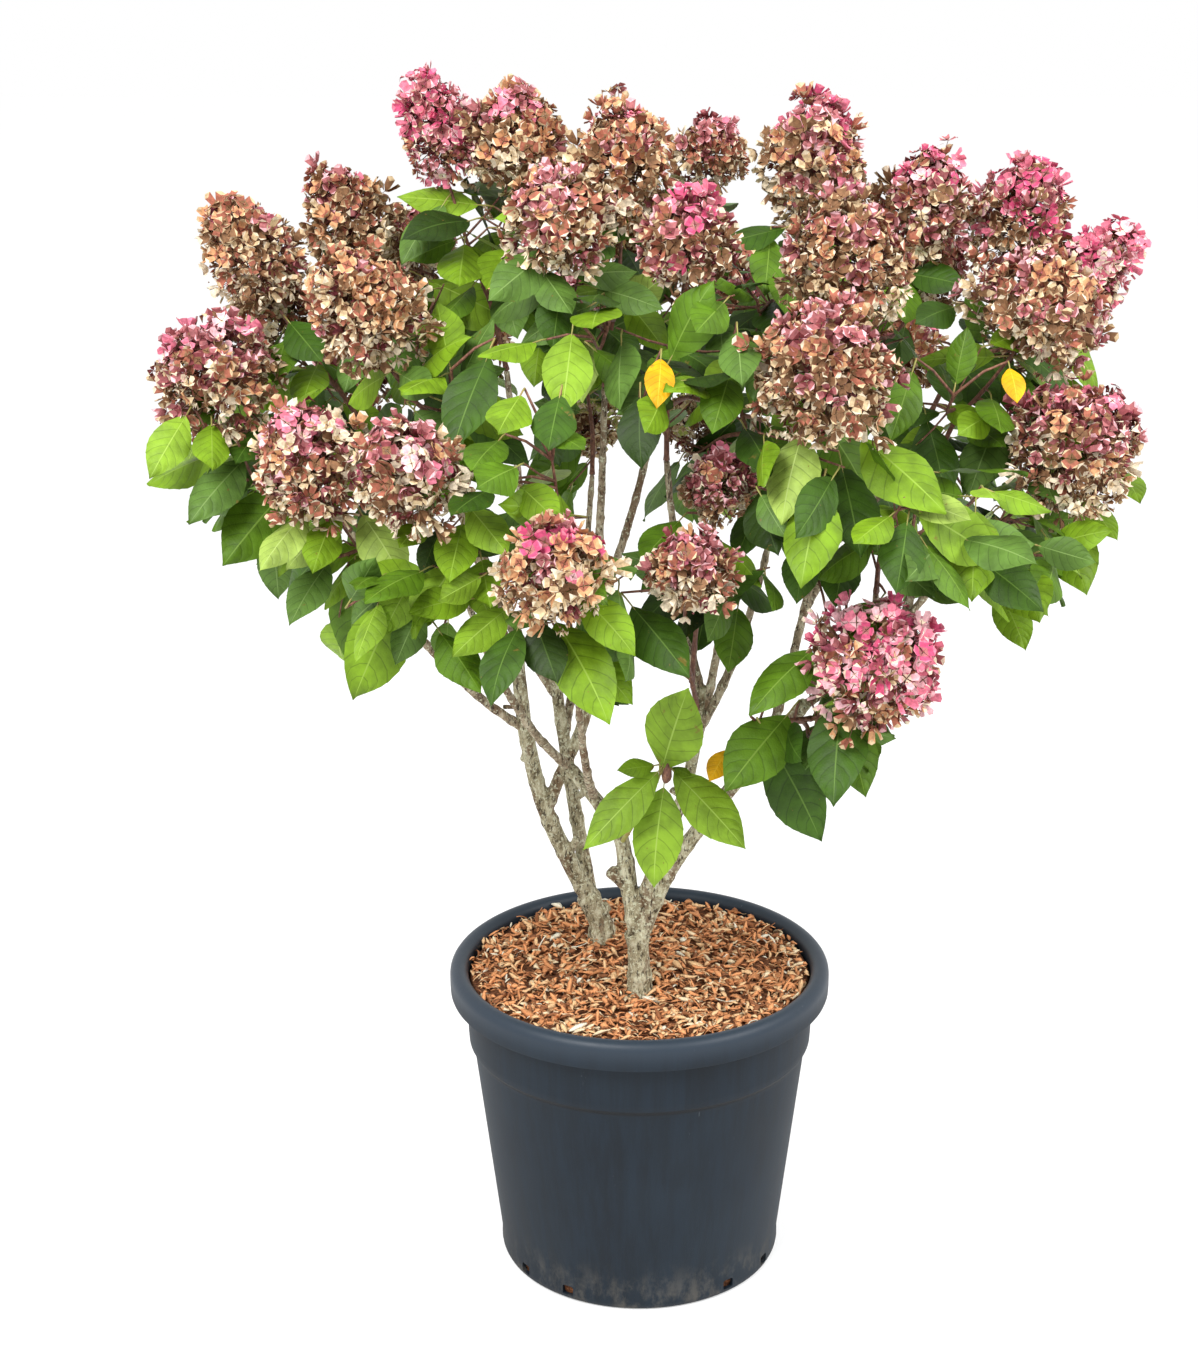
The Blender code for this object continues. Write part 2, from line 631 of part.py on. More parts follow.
class Crown:
    """What already stands in the crown, so that each new piece can be kept clear of it."""

    def __init__(self, sleeves):
        self.limbs = [tree_of(sleeve) for sleeve in sleeves.values()]
        self.pieces = {name: [] for name in MASSES}
        self.trees = {name: [] for name in MASSES}
        self.owners = []
        self.spaces = None

    def claim_spaces(self, shoots):
        """A mass's own space is all that lies nearer to its shoots than to any other's."""
        samples = []
        for name, paths in shoots.items():
            for path, head, _ in paths:
                points = [along(path, share)[0] for share in tapered(SPACE_START, 1, SPACE_SAMPLES)] + [head]
                samples += points
                self.owners += [name] * len(points)
        self.spaces = KDTree(len(samples))
        for number, sample in enumerate(samples):
            self.spaces.insert(sample, number)
        self.spaces.balance()

    def has_room(self, name, mesh, root, sunken):
        """Whether a leaf or twig keeps to its mass's space, and touches nothing but at its sunken root."""
        if any(self.owners[self.spaces.find(vert.co)[1]] != name for vert in mesh.vertices):
            return False
        if any(in_window(vert.co) for vert in mesh.vertices):
            return False
        if name != ROSETTE and any(hangs_low(vert.co) for vert in mesh.vertices):
            return False
        outer = outer_part(mesh, root, sunken)
        if any(outer.overlap(tree) for tree in self.trees[name]):
            return False
        whole = tree_of(mesh)
        others = [tree for other, trees in self.trees.items() if other != name for tree in trees]
        return not any(whole.overlap(tree) for tree in self.limbs + others)

    def add(self, name, mesh):
        self.pieces[name].append(mesh)
        self.trees[name].append(tree_of(mesh))


def in_window(place):
    level = place.z + place.y * WINDOW_FALL
    return WINDOW_X[0] < place.x < WINDOW_X[1] and WINDOW_Z[0] < level < WINDOW_Z[1]


def hangs_low(place):
    """Whether a place is below the crown's lower edge, as it shows from the front."""
    spread = FRONT_POINT.y / (FRONT_POINT.y - place.y)
    across = place.x * spread
    level = FRONT_POINT.z + (place.z - FRONT_POINT.z) * spread
    for (left, low), (right, high) in zip(LOWER_EDGE, LOWER_EDGE[1:]):
        if left <= across < right:
            return level < low + (high - low) * (across - left) / (right - left)
    return False


def outer_part(mesh, root, clear):
    """The leaf or twig without its sunken root, for testing what the rest of it touches."""
    places = [vert.co.copy() for vert in mesh.vertices]
    heading = (sum(places, Vector()) / len(places) - root).normalized()
    places = [root + heading * clear if (place - root).length < clear else place for place in places]
    return BVHTree.FromPolygons(places, [tuple(polygon.vertices) for polygon in mesh.polygons])


def plan_shoots(paths):
    """The path of every shoot, from what carries its mass to the foot of its panicle."""
    shoots = {}
    for name, (carrier, share, heads) in MASSES.items():
        foot, lean = along(paths[carrier], share)
        if share == 1.0:
            foot = foot + lean * GAP
        planned = []
        for number, (place, length, width) in enumerate(heads):
            place = Vector(place)
            aim = head_direction(place)
            end = place - aim * length * 0.5
            if number == 0:
                start, setting_off = foot, lean if share == 1.0 else (end - foot).normalized()
            else:
                start, setting_off = along(planned[0][0], FIRST_BRANCH + BRANCH_STEP * (number - 1))
                setting_off = (setting_off + (end - start).normalized()).normalized()
            planned.append((bent_path(start, setting_off, aim, end, SHOOT_STEPS), place, (length, width)))
        shoots[name] = planned
    return shoots


def clothe_shoot(crown, name, path, dice):
    """Pairs of leaves up a shoot, each pair turned square to the last, and short side twigs between them."""
    length = sum((b - a).length for a, b in zip(path, path[1:]))
    clothed = TOP_PAIR - LOWEST_PAIR
    pairs = max(FEWEST_PAIRS, round(length * clothed / NODE_SPACING))
    step = clothed / (pairs - 0.5)
    if name == ROSETTE:
        pairs = len(ROSETTE_DROOPS)
        step = ROSETTE_STEP
    turn = dice.uniform(0, math.pi) * (0 if name == ROSETTE else 1)
    for pair in range(pairs):
        node, direction = along(path, TOP_PAIR - step * pair)
        first, second = side_frame(direction)
        for half in range(2):
            angle = turn + pair * math.pi / 2 + half * math.pi + dice.uniform(-LEAF_SWAY, LEAF_SWAY)
            outwards = first * math.cos(angle) + second * math.sin(angle)
            droop = dice.uniform(*LEAF_DROOP)
            if name == ROSETTE:
                droop = ROSETTE_DROOPS[pair]
            size = LEAF_LENGTH * dice.uniform(*LEAF_SIZES)
            roll = dice.uniform(-LEAF_ROLL, LEAF_ROLL)
            on_twig = pair > 0 and name != ROSETTE and dice.random() < TWIG_SHARE
            twig_size = TWIG_LENGTH * dice.uniform(*TWIG_SIZES)
            nods = [dice.uniform(-TWIG_LEAF_NOD, TWIG_LEAF_NOD) for _ in TWIG_LEAF_TURNS]
            if on_twig:
                grow_twig(crown, name, node, outwards, direction, twig_size, size, nods)
            else:
                heading = outwards * LEAF_SPREAD + direction * LEAF_LEAN - UP * droop
                grow_leaf(crown, name, node, heading, direction, size, roll)


def grow_leaf(crown, name, node, heading, direction, size, roll):
    """A leaf that keeps to its mass's space and clear of all else, or none."""
    to_light = Vector((0, math.copysign(LEAF_TO_LIGHT, node.y - CROWN_BACK), 0))
    facing = direction + UP * LEAF_LIFT + to_light
    for share, swing in LEAF_TRIES:
        way = (Matrix.Rotation(swing, 3, direction) @ heading).normalized()
        face = (facing - way * facing.dot(way)).normalized()
        face = Matrix.Rotation(roll, 3, way) @ face
        leaf = make_leaf(node, way, face, size * share)
        if crown.has_room(name, leaf, node, SHOOT_RADIUS * LEAF_ROOT):
            crown.add(name, leaf)
            return
        bpy.data.meshes.remove(leaf)


def grow_twig(crown, name, node, outwards, direction, twig_size, size, nods):
    """A short side twig that ends in a leaf, with a pair of leaves below it."""
    heading = (outwards * TWIG_SPREAD + direction * TWIG_LEAN).normalized()
    tip = node + heading * twig_size
    path = [node, node.lerp(tip, 0.5) - UP * twig_size * TWIG_SAG, tip]
    twig = three_sided_twig(path, tapered(SHOOT_TIP_RADIUS, SHOOT_TIP_RADIUS * TWIG_TAPER, 3))
    if not crown.has_room(name, twig, node, SHOOT_RADIUS * TWIG_ROOT):
        bpy.data.meshes.remove(twig)
        return
    crown.add(name, twig)
    side = heading.cross(UP).normalized()
    for turn, nod in zip(TWIG_LEAF_TURNS, nods):
        leaf_heading = heading * math.cos(turn) + side * math.sin(turn) - UP * (TWIG_LEAF_DROOP + nod)
        start = tip - heading * SHOOT_TIP_RADIUS * (TWIG_LEAF_SEAT + abs(turn) * TWIG_PAIR_SEAT)
        grow_leaf(crown, name, start, leaf_heading, heading, size, nod)


def fuse(name, meshes):
    """Joins a mass's stem, twigs, leaves and panicles into one closed solid."""
    wanted = FUSED_SHARE * sum(solid_volume(mesh) for mesh in meshes)
    for solver in ("EXACT", "MANIFOLD"):
        extras = bpy.data.collections.new(name + "_pieces")
        bpy.context.scene.collection.children.link(extras)
        for mesh in meshes[1:]:
            add_object("piece", mesh, extras)
        stem = add_object("stem", meshes[0], bpy.context.scene.collection)
        union = stem.modifiers.new("fused", "BOOLEAN")
        union.operation = "UNION"
        union.operand_type = "COLLECTION"
        union.collection = extras
        union.solver = solver
        mesh = main_body(baked(stem))
        for piece in list(extras.objects):
            bpy.data.objects.remove(piece)
        bpy.data.collections.remove(extras)
        if solid_volume(mesh) > wanted:
            break
    return mesh


def solid_volume(mesh):
    bm = bmesh.new()
    bm.from_mesh(mesh)
    volume = bm.calc_volume(signed=True)
    bm.free()
    return volume


def make_masses(parts, paths, sleeves):
    crown = Crown(sleeves)
    shoots = plan_shoots(paths)
    crown.claim_spaces(shoots)
    for number, (name, planned) in enumerate(shoots.items()):
        dice = random.Random(PANICLE_SEED + number)
        for path, head, (length, width) in planned:
            hold = along(path, 1)[1] * max(length * PANICLE_HOLD, SHOOT_RADIUS)
            run = [*path, path[-1] + hold]
            radii = tapered(SHOOT_RADIUS, SHOOT_TIP_RADIUS, len(run))
            crown.add(name, three_sided_twig(run, radii))
            if length:
                crown.add(name, make_panicle(head, along(path, 1)[1], length, width, dice))
    for number, (name, planned) in enumerate(shoots.items()):
        dice = random.Random(LEAF_SEED + number)
        for path, _, _ in planned:
            clothe_shoot(crown, name, path, dice)
    for name, (carrier, share, _) in MASSES.items():
        mesh = fuse(name, crown.pieces[name])
        add_object(name, cut_clear(mesh, [sleeves[carrier]]), parts)


def finish(parts):
    finishes = {
        "pot": plain_material("charcoal_plastic", (0.042, 0.055, 0.072), 0.55),
        "root_ball": plain_material("shredded_bark", (0.30, 0.12, 0.055), 0.95),
        "limb": plain_material("grey_bark", (0.25, 0.22, 0.17), 0.90),
        "mass": plain_material("leaves_and_panicles", (0.14, 0.24, 0.05), 0.75),
    }
    for piece in parts.objects:
        kind = piece.name if piece.name in finishes else "mass" if piece.name.endswith("mass") else "limb"
        own = finishes[kind].copy()
        own.name = piece.name + "_finish"
        piece.data.materials.clear()
        piece.data.materials.append(own)
        if kind != "mass":
            piece.data.shade_smooth()
            piece.data.set_sharp_from_angle(angle=math.radians(40))


def main():
    for piece in list(bpy.data.objects):
        bpy.data.objects.remove(piece)
    parts = bpy.data.collections.new("potted_hydrangea")
    cutters = bpy.data.collections.new("cutters")
    for collection in (parts, cutters):
        bpy.context.scene.collection.children.link(collection)
    paths, sleeves = make_limbs(parts)
    make_masses(parts, paths, sleeves)
    make_root_ball(parts)
    make_pot(parts, cutters)
    finish(parts)


main()
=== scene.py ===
import math
import random

import bmesh
import bpy
import numpy as np
from mathutils import Matrix, Vector
from mathutils.kdtree import KDTree


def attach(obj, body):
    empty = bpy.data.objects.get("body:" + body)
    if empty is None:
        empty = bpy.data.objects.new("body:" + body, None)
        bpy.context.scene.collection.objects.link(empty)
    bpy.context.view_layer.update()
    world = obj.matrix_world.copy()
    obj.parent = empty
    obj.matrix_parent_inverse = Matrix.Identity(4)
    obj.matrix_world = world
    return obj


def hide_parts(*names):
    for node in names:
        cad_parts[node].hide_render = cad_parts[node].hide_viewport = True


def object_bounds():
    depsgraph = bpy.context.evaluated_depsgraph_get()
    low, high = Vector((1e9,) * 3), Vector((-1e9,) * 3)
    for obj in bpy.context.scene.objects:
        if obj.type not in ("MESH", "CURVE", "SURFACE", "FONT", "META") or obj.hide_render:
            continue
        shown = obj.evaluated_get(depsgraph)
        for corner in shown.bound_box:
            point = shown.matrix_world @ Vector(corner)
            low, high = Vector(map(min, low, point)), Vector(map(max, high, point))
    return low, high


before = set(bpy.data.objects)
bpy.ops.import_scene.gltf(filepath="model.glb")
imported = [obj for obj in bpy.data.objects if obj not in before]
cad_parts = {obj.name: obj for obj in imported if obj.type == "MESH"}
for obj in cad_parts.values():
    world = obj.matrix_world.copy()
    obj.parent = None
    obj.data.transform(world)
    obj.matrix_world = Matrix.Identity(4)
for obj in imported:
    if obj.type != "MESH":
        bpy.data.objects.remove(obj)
cad_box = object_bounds()
scene = bpy.context.scene

# The studio: the plant stands on a plain pale floor, in soft white light from all round with two broad lamps
# high in front, the stronger on the left, and is seen from a little above the height of its crown.
FRONT_POINT = Vector((0.0, -2.651, 1.623))
LOOKING_DOWN = 17.36
SENSOR = 36
PICTURE_HEIGHT = 1366
bpy.ops.object.select_all(action="DESELECT")
bpy.ops.object.camera_add(location=FRONT_POINT, rotation=(math.radians(90 - LOOKING_DOWN), 0, 0))
camera = bpy.context.object
camera.data.sensor_width = SENSOR
camera.data.lens = SENSOR * 2332 / PICTURE_HEIGHT
camera.data.shift_x = -40.5 / PICTURE_HEIGHT
camera.data.shift_y = -36 / PICTURE_HEIGHT
scene.camera = camera

world = bpy.data.worlds.new("white_room")
world.use_nodes = True
world.node_tree.nodes["Background"].inputs["Color"].default_value = (1, 1, 1, 1)
world.node_tree.nodes["Background"].inputs["Strength"].default_value = 1.0
scene.world = world
scene.view_settings.view_transform = "Standard"

for place, aim, size, power in (
        ((-1.6, -2.2, 3.6), (0, 0, 0.9), 1.8, 158),
        ((2.4, -1.2, 3.0), (0, 0, 0.9), 2.2, 100)):
    bpy.ops.object.light_add(type="AREA", location=place)
    lamp = bpy.context.object
    lamp.data.size = size
    lamp.data.energy = power
    lamp.rotation_euler = (Vector(aim) - Vector(place)).to_track_quat("-Z", "Y").to_euler()

bpy.ops.object.select_all(action="DESELECT")
bpy.ops.mesh.primitive_plane_add(size=40)
floor = bpy.context.object
floor.name = "studio_floor"


class Field:
    """A number or colour that varies over a surface. Sums on it add Math nodes to its finish."""

    def __init__(self, finish, socket):
        self.finish = finish
        self.socket = socket

    def math(self, operation, *others):
        return self.finish.add("ShaderNodeMath", {"operation": operation}, dict(enumerate((self, *others))))

    def __add__(self, other):
        return self.math("ADD", other)

    def __mul__(self, other):
        return self.math("MULTIPLY", other)

    def __sub__(self, other):
        return self.math("SUBTRACT", other)

    def __rsub__(self, other):
        return (self * -1).math("ADD", other)

    __radd__ = __add__

    def between(self, low, high):
        """From 0 where the number is low to 1 where it is high, with a soft start and end."""
        return self.finish.add(
            "ShaderNodeMapRange", {"interpolation_type": "SMOOTHSTEP"},
            {"Value": self, "From Min": low, "From Max": high})


def srgb(red, green, blue):
    """A colour as it is read off a screen, 0 to 255, in the linear light that shaders work in."""
    return tuple(
        (value / 255 / 12.92) if value <= 10 else ((value / 255 + 0.055) / 1.055) ** 2.4
        for value in (red, green, blue))


class Finish:
    """One material, with the patterns that vary over it."""

    def __init__(self, name, colour, roughness, specular=0.5):
        self.material = bpy.data.materials.new(name)
        self.material.use_nodes = True
        self.tree = self.material.node_tree
        self.shader = self.tree.nodes["Principled BSDF"]
        self.shader.inputs["Base Color"].default_value = (*colour, 1)
        self.shader.inputs["Roughness"].default_value = roughness
        self.shader.inputs["Specular IOR Level"].default_value = specular
        self.material.diffuse_color = (*colour, 1)
        self.place = None

    def add(self, kind, settings, sockets, output=0):
        """A node of one kind, its settings made first and then its sockets filled or linked."""
        node = self.tree.nodes.new(kind)
        for key, value in settings.items():
            if key == "stops":
                ramp = node.color_ramp
                ramp.elements[0].position, ramp.elements[-1].position = value[0][0], value[-1][0]
                ramp.elements[0].color, ramp.elements[-1].color = (*value[0][1], 1), (*value[-1][1], 1)
                for position, colour in value[1:-1]:
                    ramp.elements.new(position).color = (*colour, 1)
            else:
                setattr(node, key, value)
        for key, value in sockets.items():
            if isinstance(value, Field):
                self.tree.links.new(value.socket, node.inputs[key])
            else:
                node.inputs[key].default_value = value
        return Field(self, node.outputs[output])

    def noise(self, scale, detail=3.0, stretch=(1, 1, 1), roughness=0.55):
        """Soft cloudy noise, in the object's own metres, drawn out where stretch is small."""
        if self.place is None:
            self.place = self.add("ShaderNodeTexCoord", {}, {}, "Object")
        where = self.place
        if stretch != (1, 1, 1):
            where = self.add("ShaderNodeMapping", {}, {"Vector": where, "Scale": stretch})
        return self.add(
            "ShaderNodeTexNoise", {},
            {"Vector": where, "Scale": scale, "Detail": detail, "Roughness": roughness})

    def blend(self, share, first, second):
        colours = [(*colour, 1) if isinstance(colour, tuple) else colour for colour in (first, second)]
        return self.add(
            "ShaderNodeMix", {"data_type": "RGBA"}, {0: share, 6: colours[0], 7: colours[1]}, 2)

    def layered(self, tone, *layers):
        """The tone with screen colours laid over it in turn, each by its own share."""
        for share, tint in layers:
            tone = self.blend(share, tone, srgb(*tint))
        return tone

    def ramp(self, share, *stops):
        return self.add("ShaderNodeValToRGB", {"stops": stops}, {"Fac": share})

    def feed(self, **fields):
        """Links fields to the shader's sockets. Colour is its base colour."""
        for key, value in fields.items():
            socket = "Base Color" if key == "Colour" else key
            self.tree.links.new(value.socket, self.shader.inputs[socket])

    def bump(self, height, depth, strength=1.0):
        normal = self.add(
            "ShaderNodeBump", {}, {"Height": height, "Distance": depth, "Strength": strength})
        self.feed(Normal=normal)


floor_finish = Finish("pale_floor", (0.58, 0.58, 0.58), 0.9, 0.0)
floor_finish.shader.inputs["Emission Color"].default_value = (1, 1, 1, 1)
floor_finish.shader.inputs["Emission Strength"].default_value = 0.42
floor_grain = floor_finish.noise(30)
floor_finish.feed(Colour=floor_finish.blend(floor_grain, (0.57, 0.57, 0.57), (0.59, 0.59, 0.59)))
floor.data.materials.append(floor_finish.material)

# The pot: a blow-moulded nursery pot of charcoal plastic, one shell with a rolled lip over a band, a step
# under the band, a bevelled foot and pairs of drain slots cut through the foot.
POT_BASE_RADIUS = 0.1730
POT_STEP = 0.286
POT_STEP_RADIUS = 0.2075
POT_NECK_RADIUS = 0.2155
POT_LIP_RADIUS = 0.2350
POT_LIP_BEND = 0.377
POT_HEIGHT = 0.389
POT_WALL = 0.003


def pot_wall(height, inset=0.0):
    """The radius of the straight wall under the step, at a height."""
    return POT_BASE_RADIUS + (POT_STEP_RADIUS - POT_BASE_RADIUS) * height / POT_STEP - inset


def rung_up(name, rings, sides=128):
    """A shell raised from a circle by extruding its edge from ring to ring, closed at both ends."""
    bpy.ops.object.select_all(action="DESELECT")
    (radius, height), *others = rings
    bpy.ops.mesh.primitive_circle_add(vertices=sides, radius=radius, location=(0, 0, height))
    piece = bpy.context.object
    piece.name = name
    bpy.ops.object.transform_apply(location=True)
    bpy.ops.object.mode_set(mode="EDIT")
    bpy.ops.mesh.select_all(action="SELECT")
    for next_radius, next_height in others:
        bpy.ops.mesh.extrude_edges_move(
            TRANSFORM_OT_translate={"value": (0, 0, next_height - height)})
        share = next_radius / radius
        bpy.ops.transform.resize(value=(share, share, 1), center_override=(0, 0, next_height))
        radius, height = next_radius, next_height
    bpy.ops.mesh.edge_face_add()
    bpy.ops.mesh.select_all(action="DESELECT")
    bpy.ops.mesh.select_mode(type="EDGE")
    bpy.ops.mesh.select_non_manifold()
    bpy.ops.mesh.edge_face_add()
    bpy.ops.mesh.select_all(action="SELECT")
    bpy.ops.mesh.normals_make_consistent(inside=False)
    bpy.ops.mesh.select_mode(type="VERT")
    bpy.ops.object.mode_set(mode="OBJECT")
    return piece


lip_inner = POT_NECK_RADIUS - POT_WALL
lip_middle = (lip_inner + POT_LIP_RADIUS) / 2
lip_half = (POT_LIP_RADIUS - lip_inner) / 2
pot_rings = [(0.1660, 0.0), (0.1712, 0.0006), (0.1738, 0.0026), (0.1756, 0.0062), (0.1764, 0.0105)]
pot_rings += [(pot_wall(height), height) for height in (0.026, 0.07, 0.12, 0.17, 0.22, 0.262, 0.278)]
pot_rings += [(0.2073, 0.2835), (0.2086, 0.2862), (0.2112, 0.2883), (0.2128, 0.2912)]
pot_rings += [(0.2134, 0.300), (0.2143, 0.325), (0.2150, 0.345), (0.2154, 0.3580), (0.2164, 0.3640)]
pot_rings += [(0.2205, 0.3688), (0.2262, 0.3690), (0.2306, 0.3640), (0.2318, 0.3570)]
pot_rings += [(0.2322, 0.3546), (0.2330, 0.3540), (0.2339, 0.3543), (0.2345, 0.3560), (0.2349, 0.3640)]
for step in range(13):
    angle = math.pi * step / 12
    pot_rings.append((
        lip_middle + lip_half * math.cos(angle),
        POT_LIP_BEND + (POT_HEIGHT - POT_LIP_BEND) * math.sin(angle)))
pot_rings += [(lip_inner - 0.0008, 0.352), (pot_wall(POT_STEP, POT_WALL), POT_STEP)]
pot_rings += [(pot_wall(0.15, POT_WALL), 0.15), (pot_wall(POT_WALL, POT_WALL), POT_WALL)]
pot = rung_up("pot_shell", pot_rings)

SLOT_HALVES = (0.0075, 0.0150, 0.0062)
SLOT_RADIUS = 0.1765
SLOT_LEVEL = 0.0140
SLOT_PAIRS = (-41.8, 50.2, 138.2, 228.2)
PAIR_HALF = 11.8
bpy.ops.object.select_all(action="DESELECT")
bpy.ops.mesh.primitive_cube_add(size=2)
slots = bpy.context.object
slots.name = "slot_cutter"
bpy.ops.transform.resize(value=SLOT_HALVES)
bpy.ops.object.transform_apply(scale=True)
bpy.ops.object.mode_set(mode="EDIT")
bpy.ops.mesh.select_all(action="SELECT")
bpy.ops.mesh.bevel(offset=0.0022, segments=2)
bpy.ops.object.mode_set(mode="OBJECT")
slot_block = slots.data.copy()
slots.data.clear_geometry()
slot_set = bmesh.new()
for pair in SLOT_PAIRS:
    for side in (-PAIR_HALF, PAIR_HALF):
        turn = math.radians(pair + side)
        seat = (SLOT_RADIUS * math.sin(turn), -SLOT_RADIUS * math.cos(turn), SLOT_LEVEL)
        block = slot_block.copy()
        block.transform(Matrix.Translation(seat) @ Matrix.Rotation(turn, 4, "Z"))
        slot_set.from_mesh(block)
slot_set.to_mesh(slots.data)
slot_set.free()
bpy.context.view_layer.objects.active = pot
cut = pot.modifiers.new("drain slots", "BOOLEAN")
cut.operation = "DIFFERENCE"
cut.object = slots
bpy.ops.object.modifier_apply(modifier=cut.name)
bpy.data.objects.remove(slots)
pot.select_set(True)
bpy.ops.object.shade_smooth_by_angle(angle=math.radians(38))

plastic = Finish("charcoal_plastic", srgb(32, 41, 50), 0.52, 0.28)
streaks = plastic.noise(9, 4, (8, 8, 0.45), 0.7)
clouds = plastic.noise(5, 3)
grain = plastic.noise(900, 2)
scuffs = plastic.noise(55, 6, (1, 1, 0.35), 0.75).between(0.66, 0.74)
scratches = plastic.noise(26, 2, (3.5, 3.5, 0.5)).between(0.735, 0.76)
height_on_pot = plastic.add("ShaderNodeSeparateXYZ", {}, {"Vector": plastic.place}, "Z")
splash = (1 - height_on_pot.between(0.0, 0.075)) * plastic.noise(34, 5, (1, 1, 0.6), 0.7).between(0.44, 0.68)
# Painted highlight and shade: the lip is coloured lighter than the wall, most at the top of its roll and
# darker lower down, as light falls on it.
lip_painted_light = height_on_pot.between(0.352, 0.388)
# Painted shade: a near-black line in the crease at the step under the band, where shade falls.
step_painted_shade = height_on_pot.between(0.2815, 0.2845) * (1 - height_on_pot.between(0.2885, 0.2915))
wall_tone = plastic.layered(
    plastic.blend(streaks.between(0.30, 0.72), srgb(4, 16, 26), srgb(13, 27, 39)),
    (clouds.between(0.35, 0.75) * 0.35, (28, 41, 52)), (lip_painted_light * 0.85, (44, 54, 65)),
    (scuffs * 0.22, (112, 118, 122)), (scratches * 0.25, (110, 118, 126)),
    (splash * 0.34, (122, 116, 106)), (step_painted_shade * 0.85, (2, 6, 12)))
plastic.feed(
    Colour=wall_tone,
    Roughness=0.56 + splash * 0.25 + scuffs * 0.12 + streaks * 0.10 - lip_painted_light * 0.18)
plastic.bump(grain * 0.4 + streaks * 0.6, 0.0006, 0.5)
pot.data.materials.append(plastic.material)
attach(pot, "root")
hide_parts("pot")

# The root ball: dark potting soil that fills the pot, pressed flat below and heaped a little towards the
# rim, under a layer of mulch.
BED_TOP = 0.3735
BED_RADIUS = 0.2110


def bed_height(x, y):
    """How high the soil stands at a place: higher at the front and the rim, with low humps."""
    out = math.hypot(x, y) / BED_RADIUS
    front = max(0.0, -y / BED_RADIUS)
    humps = 0.0016 * math.sin(31 * x + 1.3) * math.cos(27 * y - 0.4) + 0.0011 * math.sin(67 * x - 53 * y)
    return BED_TOP + 0.0030 * front * out + humps * (1 - 0.5 * out)


bed_rings = [(0.160, 0.0045), (0.1690, 0.0050), (pot_wall(0.15, 0.0040), 0.15)]
bed_rings += [(pot_wall(POT_STEP, 0.0045), POT_STEP - 0.002), (BED_RADIUS, 0.352), (BED_RADIUS, 0.3700)]
BED_SHARES = (0.985, 0.94, 0.87, 0.78, 0.68, 0.57, 0.46, 0.35, 0.24, 0.12)
bed_rings += [(BED_RADIUS * share, BED_TOP) for share in BED_SHARES]
soil = rung_up("root_ball_soil", bed_rings, 96)
for vert in soil.data.vertices:
    if vert.co.z > BED_TOP - 0.001:
        vert.co.z = bed_height(vert.co.x, vert.co.y)
bpy.ops.object.shade_smooth_by_angle(angle=math.radians(50))
earth = Finish("potting_soil", srgb(58, 40, 28), 0.95, 0.2)
crumbs = earth.noise(260, 5)
earth.feed(Colour=earth.ramp(
    crumbs, (0.30, srgb(58, 36, 24)), (0.55, srgb(108, 68, 44)), (0.80, srgb(168, 112, 74))))
earth.bump(crumbs, 0.003)
soil.data.materials.append(earth.material)
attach(soil, "root")
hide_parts("root_ball")


def strewn(name, copies, shapes, finishes):
    """One mesh of many small copies of a few shapes. A copy gives its shape's number, its frame, its place
    and the finish of each part of the shape."""
    points, triangles, tints = [], [], []
    total = 0
    for number, turn, place, parts in copies:
        corners, corner_triangles, roles = shapes[number]
        points.append(corners @ turn + place)
        triangles.append(corner_triangles + total)
        tints.append(np.asarray(parts)[roles])
        total += len(corners)
    mesh = bpy.data.meshes.new(name)
    mesh.from_pydata(np.concatenate(points), [], np.concatenate(triangles))
    mesh.polygons.foreach_set("material_index", np.concatenate(tints).astype(np.int32))
    mesh.polygons.foreach_set("use_smooth", np.ones(len(mesh.polygons), dtype=bool))
    for finish in finishes:
        mesh.materials.append(finish.material)
    mesh.update()
    piece = bpy.data.objects.new(name, mesh)
    scene.collection.objects.link(piece)
    return piece


def swept(path, radii, sides):
    """The corners and triangles of a tapering tube along a path, its ends closed to a point each."""
    path = np.asarray(path, dtype=float)
    headings = np.gradient(path, axis=0)
    headings /= np.linalg.norm(headings, axis=1)[:, None]
    side = np.cross(headings[0], (0.31, 0.17, 0.93))
    side /= np.linalg.norm(side)
    corners = []
    turns = np.arange(sides) * 2 * math.pi / sides
    for point, heading, radius in zip(path, headings, radii):
        side = side - heading * side.dot(heading)
        side /= np.linalg.norm(side)
        other = np.cross(heading, side)
        corners.append(point + radius * (np.outer(np.cos(turns), side) + np.outer(np.sin(turns), other)))
    corners = np.concatenate(corners + [path[:1] - headings[:1] * radii[0] * 0.4,
                                        path[-1:] + headings[-1:] * radii[-1] * 0.6])
    here = np.arange(sides)
    there = (here + 1) % sides
    triangles = []
    for ring in range(len(path) - 1):
        low, high = ring * sides, (ring + 1) * sides
        triangles.append(np.stack([low + here, low + there, high + there], 1))
        triangles.append(np.stack([low + here, high + there, high + here], 1))
    last = (len(path) - 1) * sides
    foot, tip = len(path) * sides, len(path) * sides + 1
    triangles.append(np.stack([there, here, np.full(sides, foot)], 1))
    triangles.append(np.stack([last + here, last + there, np.full(sides, tip)], 1))
    return corners, np.concatenate(triangles)


